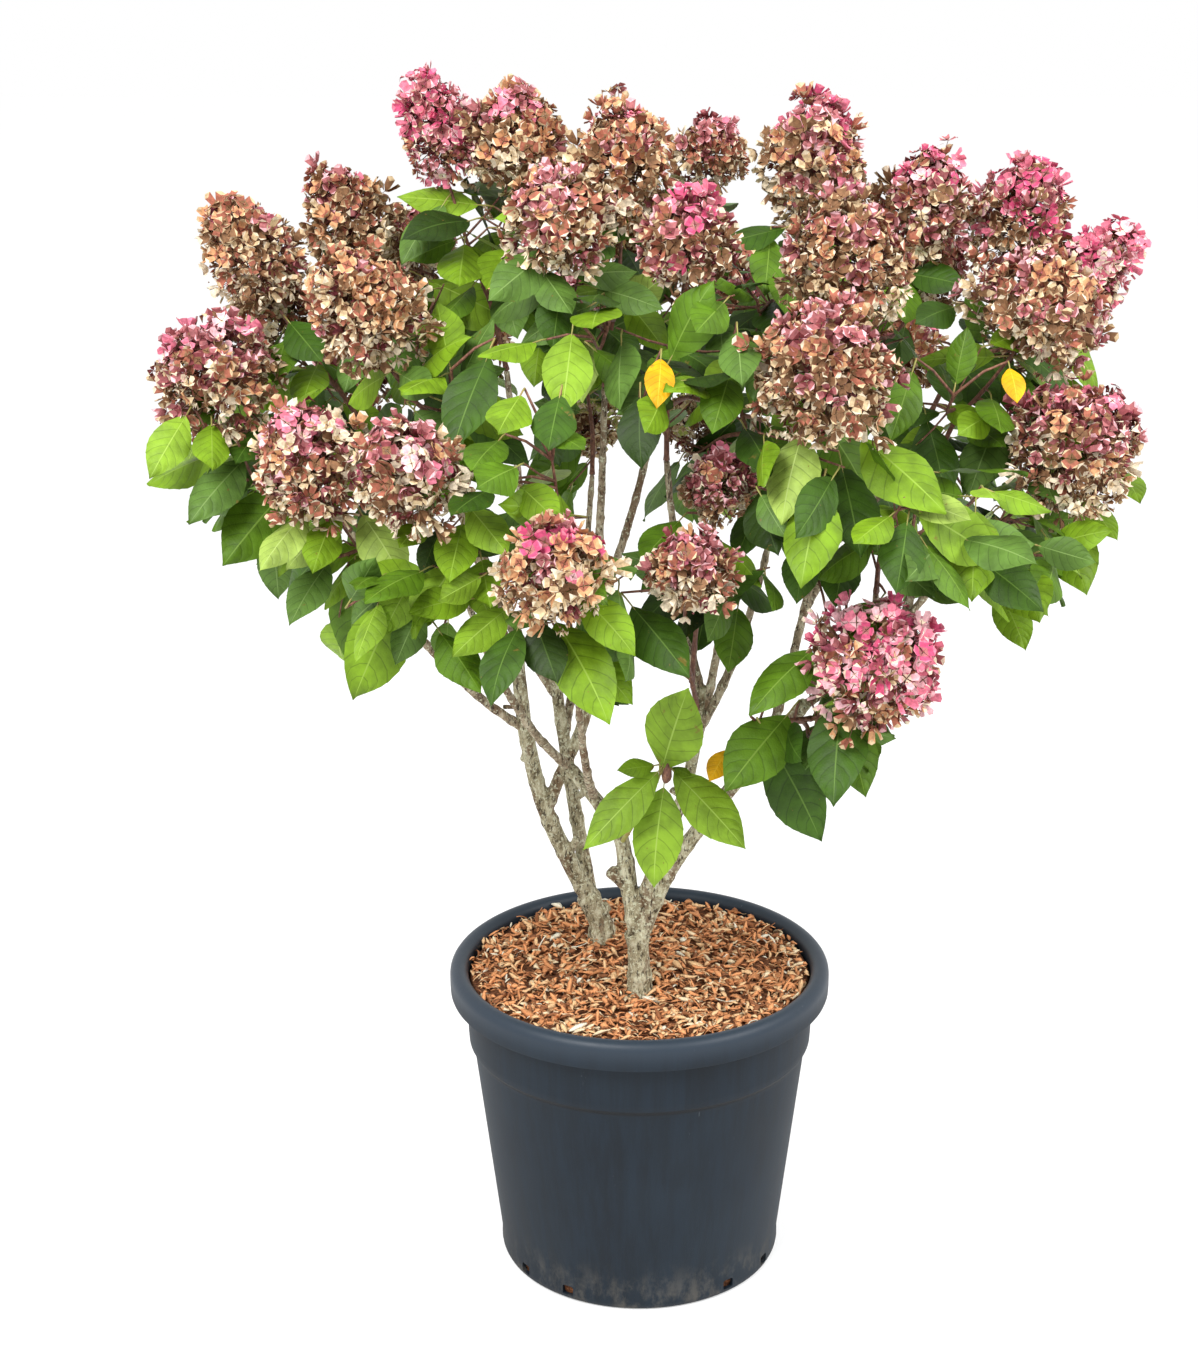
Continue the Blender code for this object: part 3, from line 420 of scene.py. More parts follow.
# The mulch: a loose layer of shredded bark, curled shreds from dark brown over orange tan to pale cream,
# strewn over the soil and a little up the rim in front.
SHREDS = 3900
MULCH_RADIUS = 0.2085
RIM_RADIUS = 0.2105
SHRED_HALF = 0.22
SHRED_THICKNESS = 0.028
SHRED_CURLS = (
    # curl, twist, bluntness of the ends
    (0.9, 0.6, 2), (1.7, -0.8, 2), (0.35, 1.3, 2), (2.3, 0.4, 4), (-0.8, -1.1, 6), (1.2, 1.9, 4),
    (0.4, 0.3, 8))
steps = 5
shred_dice = random.Random(21)
shred_shapes = []
for curl, twist, blunt in SHRED_CURLS:
    rows = []
    for step in range(steps):
        t = step / (steps - 1) - 0.5
        angle = curl * t
        middle = np.array((math.sin(angle) / curl, 0.0, (math.cos(angle) - 1) / curl))
        roll = twist * t
        width = 0.5 * (1 - abs(2 * t) ** blunt * 0.75) * (1 + 0.18 * math.sin(9 * t + curl))
        across = np.array((0.0, math.cos(roll), math.sin(roll)))
        up = np.array((math.sin(angle), -math.sin(roll), math.cos(angle) * math.cos(roll)))
        rows.append([middle - across * width * SHRED_HALF, middle + up * SHRED_THICKNESS,
                     middle + across * width * SHRED_HALF, middle - up * SHRED_THICKNESS])
    corners = np.array(rows).reshape(-1, 3)
    here = np.arange(4)
    there = (here + 1) % 4
    end = 4 * (steps - 1)
    rings = range(0, end, 4)
    triangles = [np.stack([ring + here, ring + there, ring + 4 + there], 1) for ring in rings]
    triangles += [np.stack([ring + here, ring + 4 + there, ring + 4 + here], 1) for ring in rings]
    triangles.append(np.array([(0, 2, 1), (0, 3, 2), (end, end + 1, end + 2), (end, end + 2, end + 3)]))
    triangles = np.concatenate(triangles)
    shred_shapes.append((corners, triangles, np.zeros(len(triangles), dtype=int)))

SHRED_TINTS = (
    ("dark_shreds", (150, 96, 62), 0.14), ("brown_shreds", (208, 142, 94), 0.25),
    ("rust_shreds", (240, 166, 112), 0.29), ("tan_shreds", (250, 200, 150), 0.22),
    ("pale_shreds", (252, 222, 184), 0.08), ("cream_shreds", (252, 238, 216), 0.02))


def shaded(tint, share):
    """A screen colour made darker or lighter."""
    return tuple(min(1.0, share * value) for value in srgb(*tint))


shred_finishes = []
for name, tint, _ in SHRED_TINTS:
    bark = Finish(name, srgb(*tint), 0.85, 0.25)
    fibres = bark.noise(420, 4, (1, 1, 1), 0.7)
    bark.feed(Colour=bark.blend(fibres.between(0.25, 0.75), shaded(tint, 0.74), shaded(tint, 1.15)))
    bark.bump(fibres, 0.0015)
    shred_finishes.append(bark)
shreds = []
for _ in range(SHREDS):
    out = math.sqrt(shred_dice.random()) * MULCH_RADIUS
    around = shred_dice.uniform(0, 2 * math.pi)
    x, y = out * math.cos(around), out * math.sin(around)
    length = shred_dice.choice((0.008, 0.010, 0.012, 0.014, 0.017, 0.022)) * shred_dice.uniform(0.8, 1.2)
    broad = shred_dice.uniform(1.1, 2.8) * (0.6 if length > 0.016 else 1.0)
    pitch, bank = shred_dice.gauss(0, 0.34), shred_dice.gauss(0, 0.55)
    yaw = shred_dice.uniform(0, 2 * math.pi)
    reach = min(1.0, (RIM_RADIUS - out) / (0.5 * length * 0.8) + 0.12)
    if reach < 1:
        yaw = around + math.pi / 2 + shred_dice.uniform(-0.5, 0.5)
    turn = (Matrix.Rotation(yaw, 3, "Z") @ Matrix.Rotation(pitch, 3, "Y") @ Matrix.Rotation(bank, 3, "X")
            @ Matrix.Diagonal((length, length * broad, length)))
    lift = shred_dice.uniform(0.0005, 0.0075) + 0.25 * length * abs(math.sin(pitch))
    place = np.array((x, y, bed_height(x, y) + lift))
    tint = shred_dice.choices(range(len(SHRED_TINTS)), [share for _, _, share in SHRED_TINTS])[0]
    shreds.append((shred_dice.randrange(len(shred_shapes)), np.array(turn).T, place, [tint]))
mulch = strewn("bark_mulch_shreds", shreds, shred_shapes, shred_finishes)
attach(mulch, "root")
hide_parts("root_ball")

# The old wood: two trunks that fork low, with their limbs and boughs, in rough grey-brown bark with knobby
# nodes and old pruning stubs, grown together where one leaves another.
STAND = 0.372
TRUNKS = {
    "front_trunk": ((0.000, -0.062), (-0.003, -0.062, 0.452), 0.0150, 0.0130),
    "rear_trunk": ((-0.049, 0.092), (-0.066, 0.088, 0.436), 0.0160, 0.0140),
}
LIMBS = {
    "front_left_limb": (
        "front_trunk", 0.97, [(-0.012, -0.060, 0.505), (-0.026, -0.050, 0.580)],
        (-0.088, -0.012, 0.650), 0.0115, 0.0080),
    "front_right_limb": (
        "front_trunk", 0.80, [(0.038, -0.080, 0.545), (0.112, -0.120, 0.668)],
        (0.186, -0.180, 0.785), 0.0105, 0.0080),
    "front_middle_limb": (
        "front_left_limb", 0.10, [(0.024, -0.080, 0.560), (0.058, -0.100, 0.670)],
        (0.070, -0.118, 0.785), 0.0085, 0.0070),
    "rear_left_limb": (
        "rear_trunk", 0.97, [(-0.117, 0.066, 0.560), (-0.142, 0.052, 0.684)],
        (-0.150, 0.050, 0.800), 0.0120, 0.0085),
    "rear_middle_limb": (
        "rear_trunk", 0.80, [(-0.083, 0.104, 0.560)],
        (-0.110, 0.116, 0.750), 0.0100, 0.0075),
    "rear_cross_limb": (
        "rear_left_limb", 0.36, [(-0.090, 0.062, 0.628), (-0.064, 0.068, 0.700)],
        (-0.052, 0.092, 0.860), 0.0085, 0.0065),
}
BOUGHS = {
    "left_bough": ("rear_left_limb", 0.66, (-0.335, -0.030, 0.945)),
    "left_low_bough": ("left_bough", 0.55, (-0.275, -0.135, 0.935)),
    "left_crest_bough": ("rear_left_limb", 0.98, (-0.248, 0.075, 1.070)),
    "left_high_bough": ("left_crest_bough", 0.35, (-0.330, 0.050, 1.060)),
    "left_inner_bough": ("rear_left_limb", 0.88, (-0.205, -0.065, 1.040)),
    "left_front_bough": ("front_left_limb", 0.98, (-0.195, -0.185, 0.920)),
    "front_low_bough": ("front_left_limb", 0.78, (-0.070, -0.250, 0.850)),
    "crest_left_bough": ("rear_middle_limb", 0.98, (-0.155, 0.040, 1.120)),
    "rear_left_bough": ("rear_middle_limb", 0.82, (-0.225, 0.195, 0.950)),
    "rear_bough": ("rear_middle_limb", 0.66, (-0.060, 0.235, 0.950)),
    "crest_bough": ("rear_cross_limb", 0.98, (-0.040, -0.010, 1.110)),
    "crest_rear_bough": ("rear_cross_limb", 0.84, (0.030, 0.125, 1.110)),
    "rear_right_bough": ("rear_cross_limb", 0.62, (0.125, 0.235, 0.950)),
    "centre_bough": ("front_middle_limb", 0.98, (0.030, -0.125, 1.050)),
    "right_front_bough": ("front_middle_limb", 0.80, (0.150, -0.150, 0.990)),
    "crest_right_bough": ("front_middle_limb", 0.62, (0.140, 0.050, 1.110)),
    "right_bough": ("front_right_limb", 0.98, (0.350, -0.140, 0.945)),
    "right_low_bough": ("right_bough", 0.40, (0.255, -0.235, 0.930)),
    "right_middle_bough": ("right_bough", 0.62, (0.340, -0.045, 1.030)),
    "right_inner_bough": ("front_right_limb", 0.80, (0.240, 0.060, 1.080)),
    "right_high_bough": ("right_inner_bough", 0.55, (0.345, 0.065, 1.065)),
    "right_rear_bough": ("right_inner_bough", 0.40, (0.275, 0.190, 0.960)),
}
BOUGH_RADII = (0.0062, 0.0040)
WOOD_STEP = 0.004
UP = Vector((0, 0, 1))


def smooth_path(points, steps):
    """A curve through the points, with each stretch between two of them cut into steps."""
    points = [Vector(point) for point in points]
    ends = [2 * points[0] - points[1], *points, 2 * points[-1] - points[-2]]
    path = []
    for before, start, end, after in zip(ends, ends[1:], ends[2:], ends[3:]):
        for step in range(steps):
            t = step / steps
            path.append(0.5 * (
                2 * start + (end - before) * t
                + (2 * before - 5 * start + 4 * end - after) * t ** 2
                + (3 * start - before - 3 * end + after) * t ** 3))
    path.append(points[-1])
    return path


def along(path, share):
    """The point at a share of the path's length, and the path's direction there."""
    lengths = [(b - a).length for a, b in zip(path, path[1:])]
    left = share * sum(lengths)
    for a, b, length in zip(path, path[1:], lengths):
        if left <= length:
            return a.lerp(b, left / length), (b - a).normalized()
        left -= length
    return path[-1].copy(), (path[-1] - path[-2]).normalized()


def path_length(path):
    return sum((b - a).length for a, b in zip(path, path[1:]))


def tapered(start, end, count):
    return [start + (end - start) * step / (count - 1) for step in range(count)]


def spread_evenly(path, spacing):
    """The same path with points at even distances."""
    count = max(3, round(path_length(path) / spacing) + 1)
    return [along(path, share)[0] for share in tapered(0, 1, count)]


paths = {}
wood_radii = {}
for name, (foot, fork, radius, fork_radius) in TRUNKS.items():
    ground = Vector((*foot, STAND))
    collar = ground + UP * 0.022
    paths[name] = [ground, ground + UP * 0.011, collar, collar.lerp(Vector(fork), 0.5), Vector(fork)]
    wood_radii[name] = (radius, fork_radius)
for name, (parent, share, bends, tip, radius, tip_radius) in LIMBS.items():
    paths[name] = smooth_path([along(paths[parent], share)[0], *bends, tip], 2)
    wood_radii[name] = (radius, tip_radius)
for name, (parent, share, tip) in BOUGHS.items():
    start, _ = along(paths[parent], share)
    reach = Vector(tip) - start
    knee = start + Vector((reach.x * 0.60, reach.y * 0.60, reach.z * 0.34))
    paths[name] = [start.lerp(knee, t).lerp(knee.lerp(Vector(tip), t), t) for t in tapered(0, 1, 5)]
    wood_radii[name] = BOUGH_RADII

wood_dice = random.Random(5)


def grown_wood(name, members, stubs, voxel, knots):
    """Tubes with swollen nodes along the members' paths, with stubs, grown together into one closed skin."""
    bpy.ops.object.select_all(action="DESELECT")
    curve = bpy.data.curves.new(name, "CURVE")
    curve.dimensions = "3D"
    curve.bevel_depth = 1
    curve.bevel_resolution = 5
    curve.use_fill_caps = True
    for member in members:
        path = spread_evenly(smooth_path(paths[member], 4), WOOD_STEP)
        start, end = wood_radii[member]
        length = WOOD_STEP * (len(path) - 1)
        nodes = []
        place = wood_dice.uniform(0.012, 0.03)
        while place < length:
            nodes.append((place, wood_dice.uniform(0.5, 1.0), wood_dice.uniform(0.0026, 0.0045)))
            place += wood_dice.uniform(0.026, 0.058)
        spline = curve.splines.new("POLY")
        spline.points.add(len(path) - 1)
        sway = Vector((0, 0, 0))
        for number, point in enumerate(path):
            share = number / (len(path) - 1)
            swell = sum(
                size * math.exp(-((WOOD_STEP * number - middle) / spread) ** 2)
                for middle, size, spread in nodes)
            radius = start + (end - start) * share
            if member.endswith("trunk"):
                radius *= 1 + 0.38 * math.exp(-share * 9) + 0.18 * math.exp(-((share - 0.93) / 0.10) ** 2)
            sway = sway * 0.8 + Vector([wood_dice.uniform(-1, 1) for _ in range(3)]) * 0.00028
            ease = min(1.0, 6 * share, 6 * (1 - share))
            spline.points[number].co = (*(point + sway * ease), 1)
            spline.points[number].radius = radius * (0.97 + knots * swell)
    for member, share, lean, length, radius in stubs:
        start, _ = along(paths[member], share)
        end = start + Vector(lean).normalized() * length
        spline = curve.splines.new("POLY")
        spline.points.add(2)
        for point, place, size in zip(spline.points, (start, start.lerp(end, 0.55), end), (1.25, 1.0, 1.06)):
            point.co = (*place, 1)
            point.radius = radius * size
    wood = bpy.data.objects.new(name, curve)
    scene.collection.objects.link(wood)
    wood.select_set(True)
    bpy.context.view_layer.objects.active = wood
    bpy.ops.object.convert(target="MESH")
    wood = bpy.context.object
    wood.name = name
    remesh = wood.modifiers.new("grown together", "REMESH")
    remesh.mode = "VOXEL"
    remesh.voxel_size = voxel
    soften = wood.modifiers.new("healed forks", "SMOOTH")
    soften.factor = 0.5
    soften.iterations = 4
    for scale, depth in ((0.010, 0.0011), (0.0038, 0.0007)):
        relief = bpy.data.textures.new(name + "_relief", "CLOUDS")
        relief.noise_scale = scale
        relief.noise_depth = 2
        rough = wood.modifiers.new("rough bark", "DISPLACE")
        rough.texture = relief
        rough.texture_coords = "LOCAL"
        rough.strength = depth * knots * 2.6
        rough.mid_level = 0.52
    for modifier in list(wood.modifiers):
        bpy.ops.object.modifier_apply(modifier=modifier.name)
    bpy.ops.object.shade_smooth()
    return wood


STUBS = [
    ("front_left_limb", 0.26, (-0.75, -0.20, 0.80), 0.034, 0.0078),
    ("front_left_limb", 0.62, (0.50, -0.60, 0.50), 0.022, 0.0062),
    ("front_right_limb", 0.16, (0.2, -0.7, 0.7), 0.020, 0.0055),
    ("rear_left_limb", 0.17, (0.42, -0.35, 1.0), 0.034, 0.0050),
    ("rear_left_limb", 0.55, (-0.6, -0.5, 0.4), 0.016, 0.0052),
    ("rear_left_limb", 0.74, (-1.0, -0.1, 0.05), 0.024, 0.0028),
    ("rear_middle_limb", 0.42, (0.6, -0.5, 0.6), 0.020, 0.0046),
    ("rear_cross_limb", 0.30, (0.8, -0.3, 0.5), 0.018, 0.0042),
    ("front_middle_limb", 0.55, (-0.7, -0.4, 0.6), 0.018, 0.0042),
    ("rear_trunk", 0.55, (0.9, 0.4, 0.6), 0.020, 0.0070),
]
old_wood = grown_wood("trunks_and_limbs", [*TRUNKS, *LIMBS], STUBS, 0.00165, 0.17)
boughs = grown_wood("main_boughs", [*BOUGHS], [], 0.00240, 0.22)


def bark_finish(name, dark, middle, light, lichen_share):
    """Grey bark, cracked and scaly along the stem, speckled with pale lichen and darker scars."""
    bark = Finish(name, srgb(*middle), 0.88, 0.25)
    scales = bark.noise(95, 5, (1, 1, 0.45), 0.75)
    patches = bark.noise(34, 4, (1, 1, 0.6), 0.6)
    cracks = bark.noise(260, 4, (1, 1, 0.35), 0.7)
    lichen = bark.noise(240, 3, (1, 1, 1), 0.6).between(0.575 - lichen_share, 0.625 - lichen_share)
    bark.feed(Colour=bark.layered(
        bark.ramp(scales, (0.36, srgb(*dark)), (0.50, srgb(*middle)), (0.63, srgb(*light))),
        (patches.between(0.53, 0.60) * 0.68, (108, 80, 58)), (lichen * 0.85, (204, 203, 176)),
        (cracks.between(0.545, 0.61) * 0.85, (50, 38, 28))))
    bark.bump(scales * 0.7 + cracks * -0.6, 0.0034)
    return bark


old_bark = bark_finish("old_grey_bark", (98, 87, 65), (160, 151, 122), (204, 199, 172), 0.03)
bough_bark = bark_finish("bough_bark", (104, 89, 71), (155, 139, 115), (192, 181, 157), 0.0)
for piece, finish, nodes in ((old_wood, old_bark, [*TRUNKS, *LIMBS]), (boughs, bough_bark, [*BOUGHS])):
    piece.data.materials.clear()
    piece.data.materials.append(finish.material)
    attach(piece, "root")
    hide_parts(*nodes)

# The flowering shoots: this year's red-brown growth, one up to each flower head and each leafy tip, every
# mass of them branching from the end of its bough or from a limb.
# A flower head has its middle, length, width and mood, a leafy tip its place alone, in millimetres.
MASSES = {
    "left_tip_mass": ("left_bough", 1.00, [
        (-476, -60, 1135, 146, 140, "mauve"), (-470, -100, 1040), (-470, 60, 1010)]),
    "left_low_mass": ("left_low_bough", 1.00, [
        (-352, -225, 1072, 140, 126, "chestnut"), (-350, -180, 960)]),
    "left_crest_mass": ("left_crest_bough", 1.00, [
        (-338, 70, 1297, 128, 104, "russet"), (-256, 130, 1262, 94, 82, "mauve"),
        (-300, 230, 1225, 120, 100, "russet")]),
    "left_high_mass": ("left_high_bough", 1.00, [
        (-448, 30, 1262, 158, 104, "russet"), (-445, 165, 1175, 125, 105, "mauve")]),
    "left_inner_mass": ("left_inner_bough", 1.00, [
        (-294, -160, 1228, 150, 118, "honey"), (-200, -200, 1165)]),
    "left_front_mass": ("left_front_bough", 1.00, [
        (-238, -310, 1080, 126, 112, "chestnut"), (-275, -270, 940), (-165, -290, 940)]),
    "front_low_mass": ("front_low_bough", 1.00, [
        (-85, -395, 1000, 124, 110, "ember"), (-60, -350, 900), (-90, -300, 1090)]),
    "crest_left_mass": ("crest_left_bough", 1.00, [
        (-229, 20, 1401, 140, 84, "loose"), (-145, 30, 1387, 132, 112, "amber"),
        (-140, 180, 1330, 125, 105, "mauve")]),
    "rear_left_mass": ("rear_left_bough", 1.00, [
        (-360, 290, 1080, 130, 115, "mauve"), (-225, 360, 1110, 130, 110, "amber"), (-330, 260, 940)]),
    "rear_mass": ("rear_bough", 1.00, [
        (-80, 400, 1130, 135, 115, "pink"), (-65, 360, 985, 80, 78, "lime")]),
    "crest_mass": ("crest_bough", 1.00, [
        (-22, -10, 1361, 160, 120, "amber"), (-90, -130, 1315, 118, 122, "straw"), (-50, -200, 1200)]),
    "crest_rear_mass": ("crest_rear_bough", 1.00, [
        (83, 150, 1358, 95, 86, "mauve"), (10, 300, 1240, 125, 105, "russet")]),
    "rear_right_mass": ("rear_right_bough", 1.00, [
        (130, 380, 1150, 130, 112, "mauve"), (63, 340, 998, 80, 76, "lime"), (220, 330, 980)]),
    "centre_mass": ("centre_bough", 1.00, [
        (53, -200, 1302, 124, 106, "blush"), (90, -250, 1160), (0, -260, 1130)]),
    "front_middle_mass": ("front_middle_limb", 0.90, [
        (52, -320, 978, 88, 94, "wine"), (86, -240, 1050, 90, 74, "wine")]),
    "front_sprig_mass": ("front_left_limb", 0.50, [
        (23, -222, 716)]),
    "right_front_mass": ("right_front_bough", 1.00, [
        (189, -300, 1184, 160, 150, "copper"), (222, -165, 1276, 138, 134, "copper"), (175, -310, 1030)]),
    "crest_right_mass": ("crest_right_bough", 1.00, [
        (198, 20, 1368, 144, 126, "flame"), (220, 180, 1300, 125, 105, "russet"), (130, -70, 1220)]),
    "right_tip_mass": ("right_bough", 1.00, [
        (482, -120, 1066, 165, 150, "wine"), (460, -180, 960), (500, 0, 980)]),
    "right_low_mass": ("right_low_bough", 1.00, [
        (270, -340, 1060), (360, -250, 1040)]),
    "right_middle_mass": ("right_middle_bough", 1.00, [
        (446, -75, 1215, 125, 160, "straw"), (340, -160, 1130)]),
    "right_sprig_mass": ("front_right_limb", 0.90, [
        (252, -320, 876, 150, 136, "pink"), (190, -300, 790), (120, -270, 800)]),
    "right_inner_mass": ("right_inner_bough", 1.00, [
        (326, 55, 1310, 146, 106, "flame"), (350, 190, 1215, 120, 105, "mauve")]),
    "right_high_mass": ("right_high_bough", 1.00, [
        (442, 85, 1294, 148, 118, "rose"), (521, 45, 1240, 148, 92, "bright"),
        (500, 180, 1150, 125, 110, "russet")]),
    "right_rear_mass": ("right_rear_bough", 1.00, [
        (330, 330, 1090, 130, 112, "amber"), (440, 230, 990)]),
}
CROWN_HEART = Vector((0.0, 0.0, 0.62))
CLEARANCE = 0.0003
SHOOT_RADII = (0.0034, 0.0022)
ROSETTE = "front_sprig_mass"


def head_direction(place):
    """Flower heads and shoot tips lean out from the heart of the crown, and turn up a little."""
    return ((place - CROWN_HEART).normalized() + UP * 0.35).normalized()


def bent_path(start, lean, aim, end, steps):
    """A curve that sets off along lean and arrives along aim."""
    pull = (end - start).length * 0.36
    knees = (start, start + lean * pull, end - aim * pull, end)
    path = []
    for step in range(steps + 1):
        t = step / steps
        shares = ((1 - t) ** 3, 3 * t * (1 - t) ** 2, 3 * t ** 2 * (1 - t), t ** 3)
        path.append(sum((share * knee for share, knee in zip(shares, knees)), Vector()))
    return path


def in_metres(place):
    return Vector([value / 1000 for value in place])


def side_frame(direction):
    """Two directions square to the given one and to each other."""
    first = direction.cross(UP if abs(direction.z) < 0.9 else Vector((1, 0, 0))).normalized()
    return first, direction.cross(first).normalized()


shoots = {}
for name, (carrier, share, tips) in MASSES.items():
    foot, lean = along(paths[carrier], share)
    if share == 1.0:
        foot = foot + lean * CLEARANCE
    planned = []
    for number, (x, y, z, *head) in enumerate(tips):
        length, width, mood = head or (0, 0, "")
        place, length, width = in_metres((x, y, z)), length / 1000, width / 1000
        aim = head_direction(place)
        end = place - aim * length * 0.5
        if number == 0:
            start, setting_off = foot, lean if share == 1.0 else (end - foot).normalized()
        else:
            start, setting_off = along(planned[0][0], 0.31 + 0.15 * (number - 1))
            setting_off = (setting_off + (end - start).normalized()).normalized()
        planned.append((bent_path(start, setting_off, aim, end, 3), place, (length, width), mood))
    shoots[name] = planned

stem_dice = random.Random(11)
stem_parts = []


def add_stem(path, radii, sides, tint):
    corners, triangles = swept(path, radii, sides)
    stem_parts.append((corners, triangles, tint))


for name, planned in shoots.items():
    for path, head, (length, width), mood in planned:
        line = spread_evenly(smooth_path(path, 5), 0.007)
        radii = tapered(SHOOT_RADII[0] * 0.95, SHOOT_RADII[1] * (0.8 if length else 0.62), len(line))
        gap = stem_dice.randrange(5, 8)
        radii = [radius * (1.22 if number % gap == 0 else 1.0) for number, radius in enumerate(radii)]
        add_stem(line, radii, 7, 1 if name == ROSETTE else 0)

# The leaves: broad, pointed blades on short stalks, in pairs up the shoots and at the ends of short side
# twigs, with a pale midrib and arching side veins that are pressed in from above.
LEAF_LENGTH = 0.126
LEAF_STALK = 0.16
LEAF_MIDDLE = 0.55
PAIR_SPACING = 0.041
CROWN_BACK = 0.10
LEAF_TRIES = ((1.0, 0.0), (0.9, 0.5), (0.8, -0.5), (0.7, 1.0))
OUTLINE = (
    (0, 0), (0.02, 0.036), (0.06, 0.086), (0.12, 0.142), (0.20, 0.200), (0.30, 0.250), (0.40, 0.280),
    (0.50, 0.287), (0.60, 0.268), (0.70, 0.225), (0.79, 0.168), (0.86, 0.113), (0.91, 0.070),
    (0.945, 0.039), (0.97, 0.018), (1.0, 0.0))
VEINS = (0.11, 0.23, 0.36, 0.49, 0.62, 0.75)
COLUMNS = (-1.0, -0.66, -0.30, -0.028, 0.028, 0.30, 0.66, 1.0)


def leaf_shape(bend, fold, twist, wave, phase):
    """A blade of unit length along X, its face up Z: rows of points across it, pleated by its side veins."""
    rows = [(0.0, False), (0.03, False)]
    for number, vein in enumerate(VEINS):
        following = VEINS[number + 1] if number + 1 < len(VEINS) else 0.87
        rows += [(vein - 0.006, True), (vein + 0.006, True), ((vein + following) / 2, False)]
    rows += [(0.865, False), (0.92, False), (0.965, False), (1.0, False)]
    spots = np.linspace(0, 1, 101)
    heading = -bend * (spots ** 1.5) + bend * 0.30
    run = np.concatenate([[0], np.cumsum((np.cos(heading[1:]) + np.cos(heading[:-1])) / 2) / 100])
    rise = np.concatenate([[0], np.cumsum((np.sin(heading[1:]) + np.sin(heading[:-1])) / 2) / 100])
    outline = np.array(OUTLINE)
    corners = []
    for row, (t, vein) in enumerate(rows):
        for column in COLUMNS:
            s = t + abs(column) ** 1.4 * 0.86 * t * (1 - t)
            half = np.interp(s, outline[:, 0], outline[:, 1])
            if abs(column) == 1.0 and 0 < t < 1:
                half *= 1.012 if row % 2 else 0.988
            across = column * half
            lift = -fold * abs(across) + wave * math.sin(phase + 9 * s + column) * column ** 2
            pleat = -0.0075 if vein else 0.0065
            lift += pleat * (1 - abs(column) ** 4) * min(1, 8 * half) * (abs(column) > 0.1)
            if abs(column) < 0.1:
                lift -= 0.006
            spin = twist * s
            y = across * math.cos(spin) - lift * math.sin(spin)
            z = across * math.sin(spin) + lift * math.cos(spin)
            turn = np.interp(s, spots, heading)
            corners.append((np.interp(s, spots, run) - z * math.sin(turn), y,
                            np.interp(s, spots, rise) + z * math.cos(turn)))
    wide = len(COLUMNS)
    triangles, roles = [], []
    for row in range(len(rows) - 1):
        for column in range(wide - 1):
            a = row * wide + column
            b, c, d = a + 1, a + wide + 1, a + wide
            pair = [(a, d, c), (a, c, b)]
            if row == 0:
                pair = [(a, d, c)]
            elif row == len(rows) - 2:
                pair = [(a, d, b)]
            midrib = COLUMNS[column] * COLUMNS[column + 1] < 0
            role = 1 if midrib else 2 if rows[row][1] and rows[row + 1][1] else 0
            triangles += pair
            roles += [role] * len(pair)
    corners = np.array(corners)
    corners[:wide] = corners[:wide].mean(axis=0)
    corners[-wide:] = corners[-wide:].mean(axis=0)
    return corners, np.array(triangles)[:, ::-1], np.array(roles)


leaf_dice = random.Random(8)
leaf_shapes = [
    leaf_shape(leaf_dice.uniform(0.15, 0.80), leaf_dice.uniform(0.0, 0.36), leaf_dice.uniform(-0.16, 0.16),
               leaf_dice.uniform(0.010, 0.034), leaf_dice.uniform(0, 6.28))
    for _ in range(14)]
flat_shapes = [
    leaf_shape(bend, 0.12, twist, 0.014, phase)
    for bend, twist, phase in ((0.35, 0.06, 0.4), (0.5, -0.08, 2.0), (0.25, 0.0, 4.0))]
leaf_shapes += flat_shapes

# The darker tints stand partly for painted shade and the brighter ones partly for painted light, dealt out
# by where a leaf sits.
LEAF_TINTS = (
    # name, blade, vein
    ("bright_leaf", (122, 155, 40), (152, 182, 74)),
    ("fresh_leaf", (106, 138, 25), (132, 162, 56)),
    ("mid_leaf", (77, 109, 19), (108, 138, 48)),
    ("cool_leaf", (82, 112, 44), (116, 144, 76)),
    ("deep_leaf", (53, 82, 16), (84, 114, 40)),
    ("dark_leaf", (37, 57, 12), (62, 86, 30)),
    ("pale_leaf", (142, 166, 74), (168, 190, 104)),
    ("yellow_leaf", (207, 154, 14), (222, 182, 48)),
)
BRIGHT, FRESH, MID, COOL, DEEP, DARK, PALE, YELLOW = range(len(LEAF_TINTS))
leaf_finishes = []
for name, blade, vein in LEAF_TINTS:
    # Each green has a copy at 0.70 of its brightness for the pressed-in side veins: painted shade in the
    # grooves.
    for part, shade in (("", 1.0), ("_groove", 0.70)):
        green = Finish(name + part, srgb(*blade), 0.45, 0.20)
        mottle = green.noise(38, 3)
        specks = green.noise(170, 2).between(0.735, 0.77)
        blight = green.noise(26, 5, (1, 1, 1), 0.65).between(0.665, 0.70)
        tone = green.layered(
            green.blend(mottle.between(0.3, 0.7), shaded(blade, 0.74 * shade), shaded(blade, 1.20 * shade)),
            (specks * 0.6, (112, 84, 40)), (blight * 0.55, (120, 92, 44)))
        green.feed(Colour=tone, Roughness=0.40 + mottle * 0.2)
        green.bump(green.noise(420, 2), 0.0006, 0.6)
        leaf_finishes.append(green)
    rib = Finish(name + "_vein", srgb(*vein), 0.52, 0.24)
    rib.feed(Colour=rib.blend(rib.noise(60), shaded(vein, 0.88), srgb(*vein)))
    leaf_finishes.append(rib)

samples = []
owners = []
for name, planned in shoots.items():
    for path, head, _, _ in planned:
        points = [along(path, share)[0] for share in tapered(0.1, 1, 8)] + [head]
        samples += points
        owners += [name] * len(points)
spaces = KDTree(len(samples))
for number, sample in enumerate(samples):
    spaces.insert(sample, number)
spaces.balance()


def in_window(place):
    """Whether a place is where the sky shows through the middle of the crown."""
    level = place.z + place.y * 0.22
    left = -0.088 < place.x < 0.006 and 0.935 < level < 1.070
    return left or 0.030 < place.x < 0.066 and 1.0 < level < 1.060


def owned(name, place):
    return owners[spaces.find(place)[1]] == name


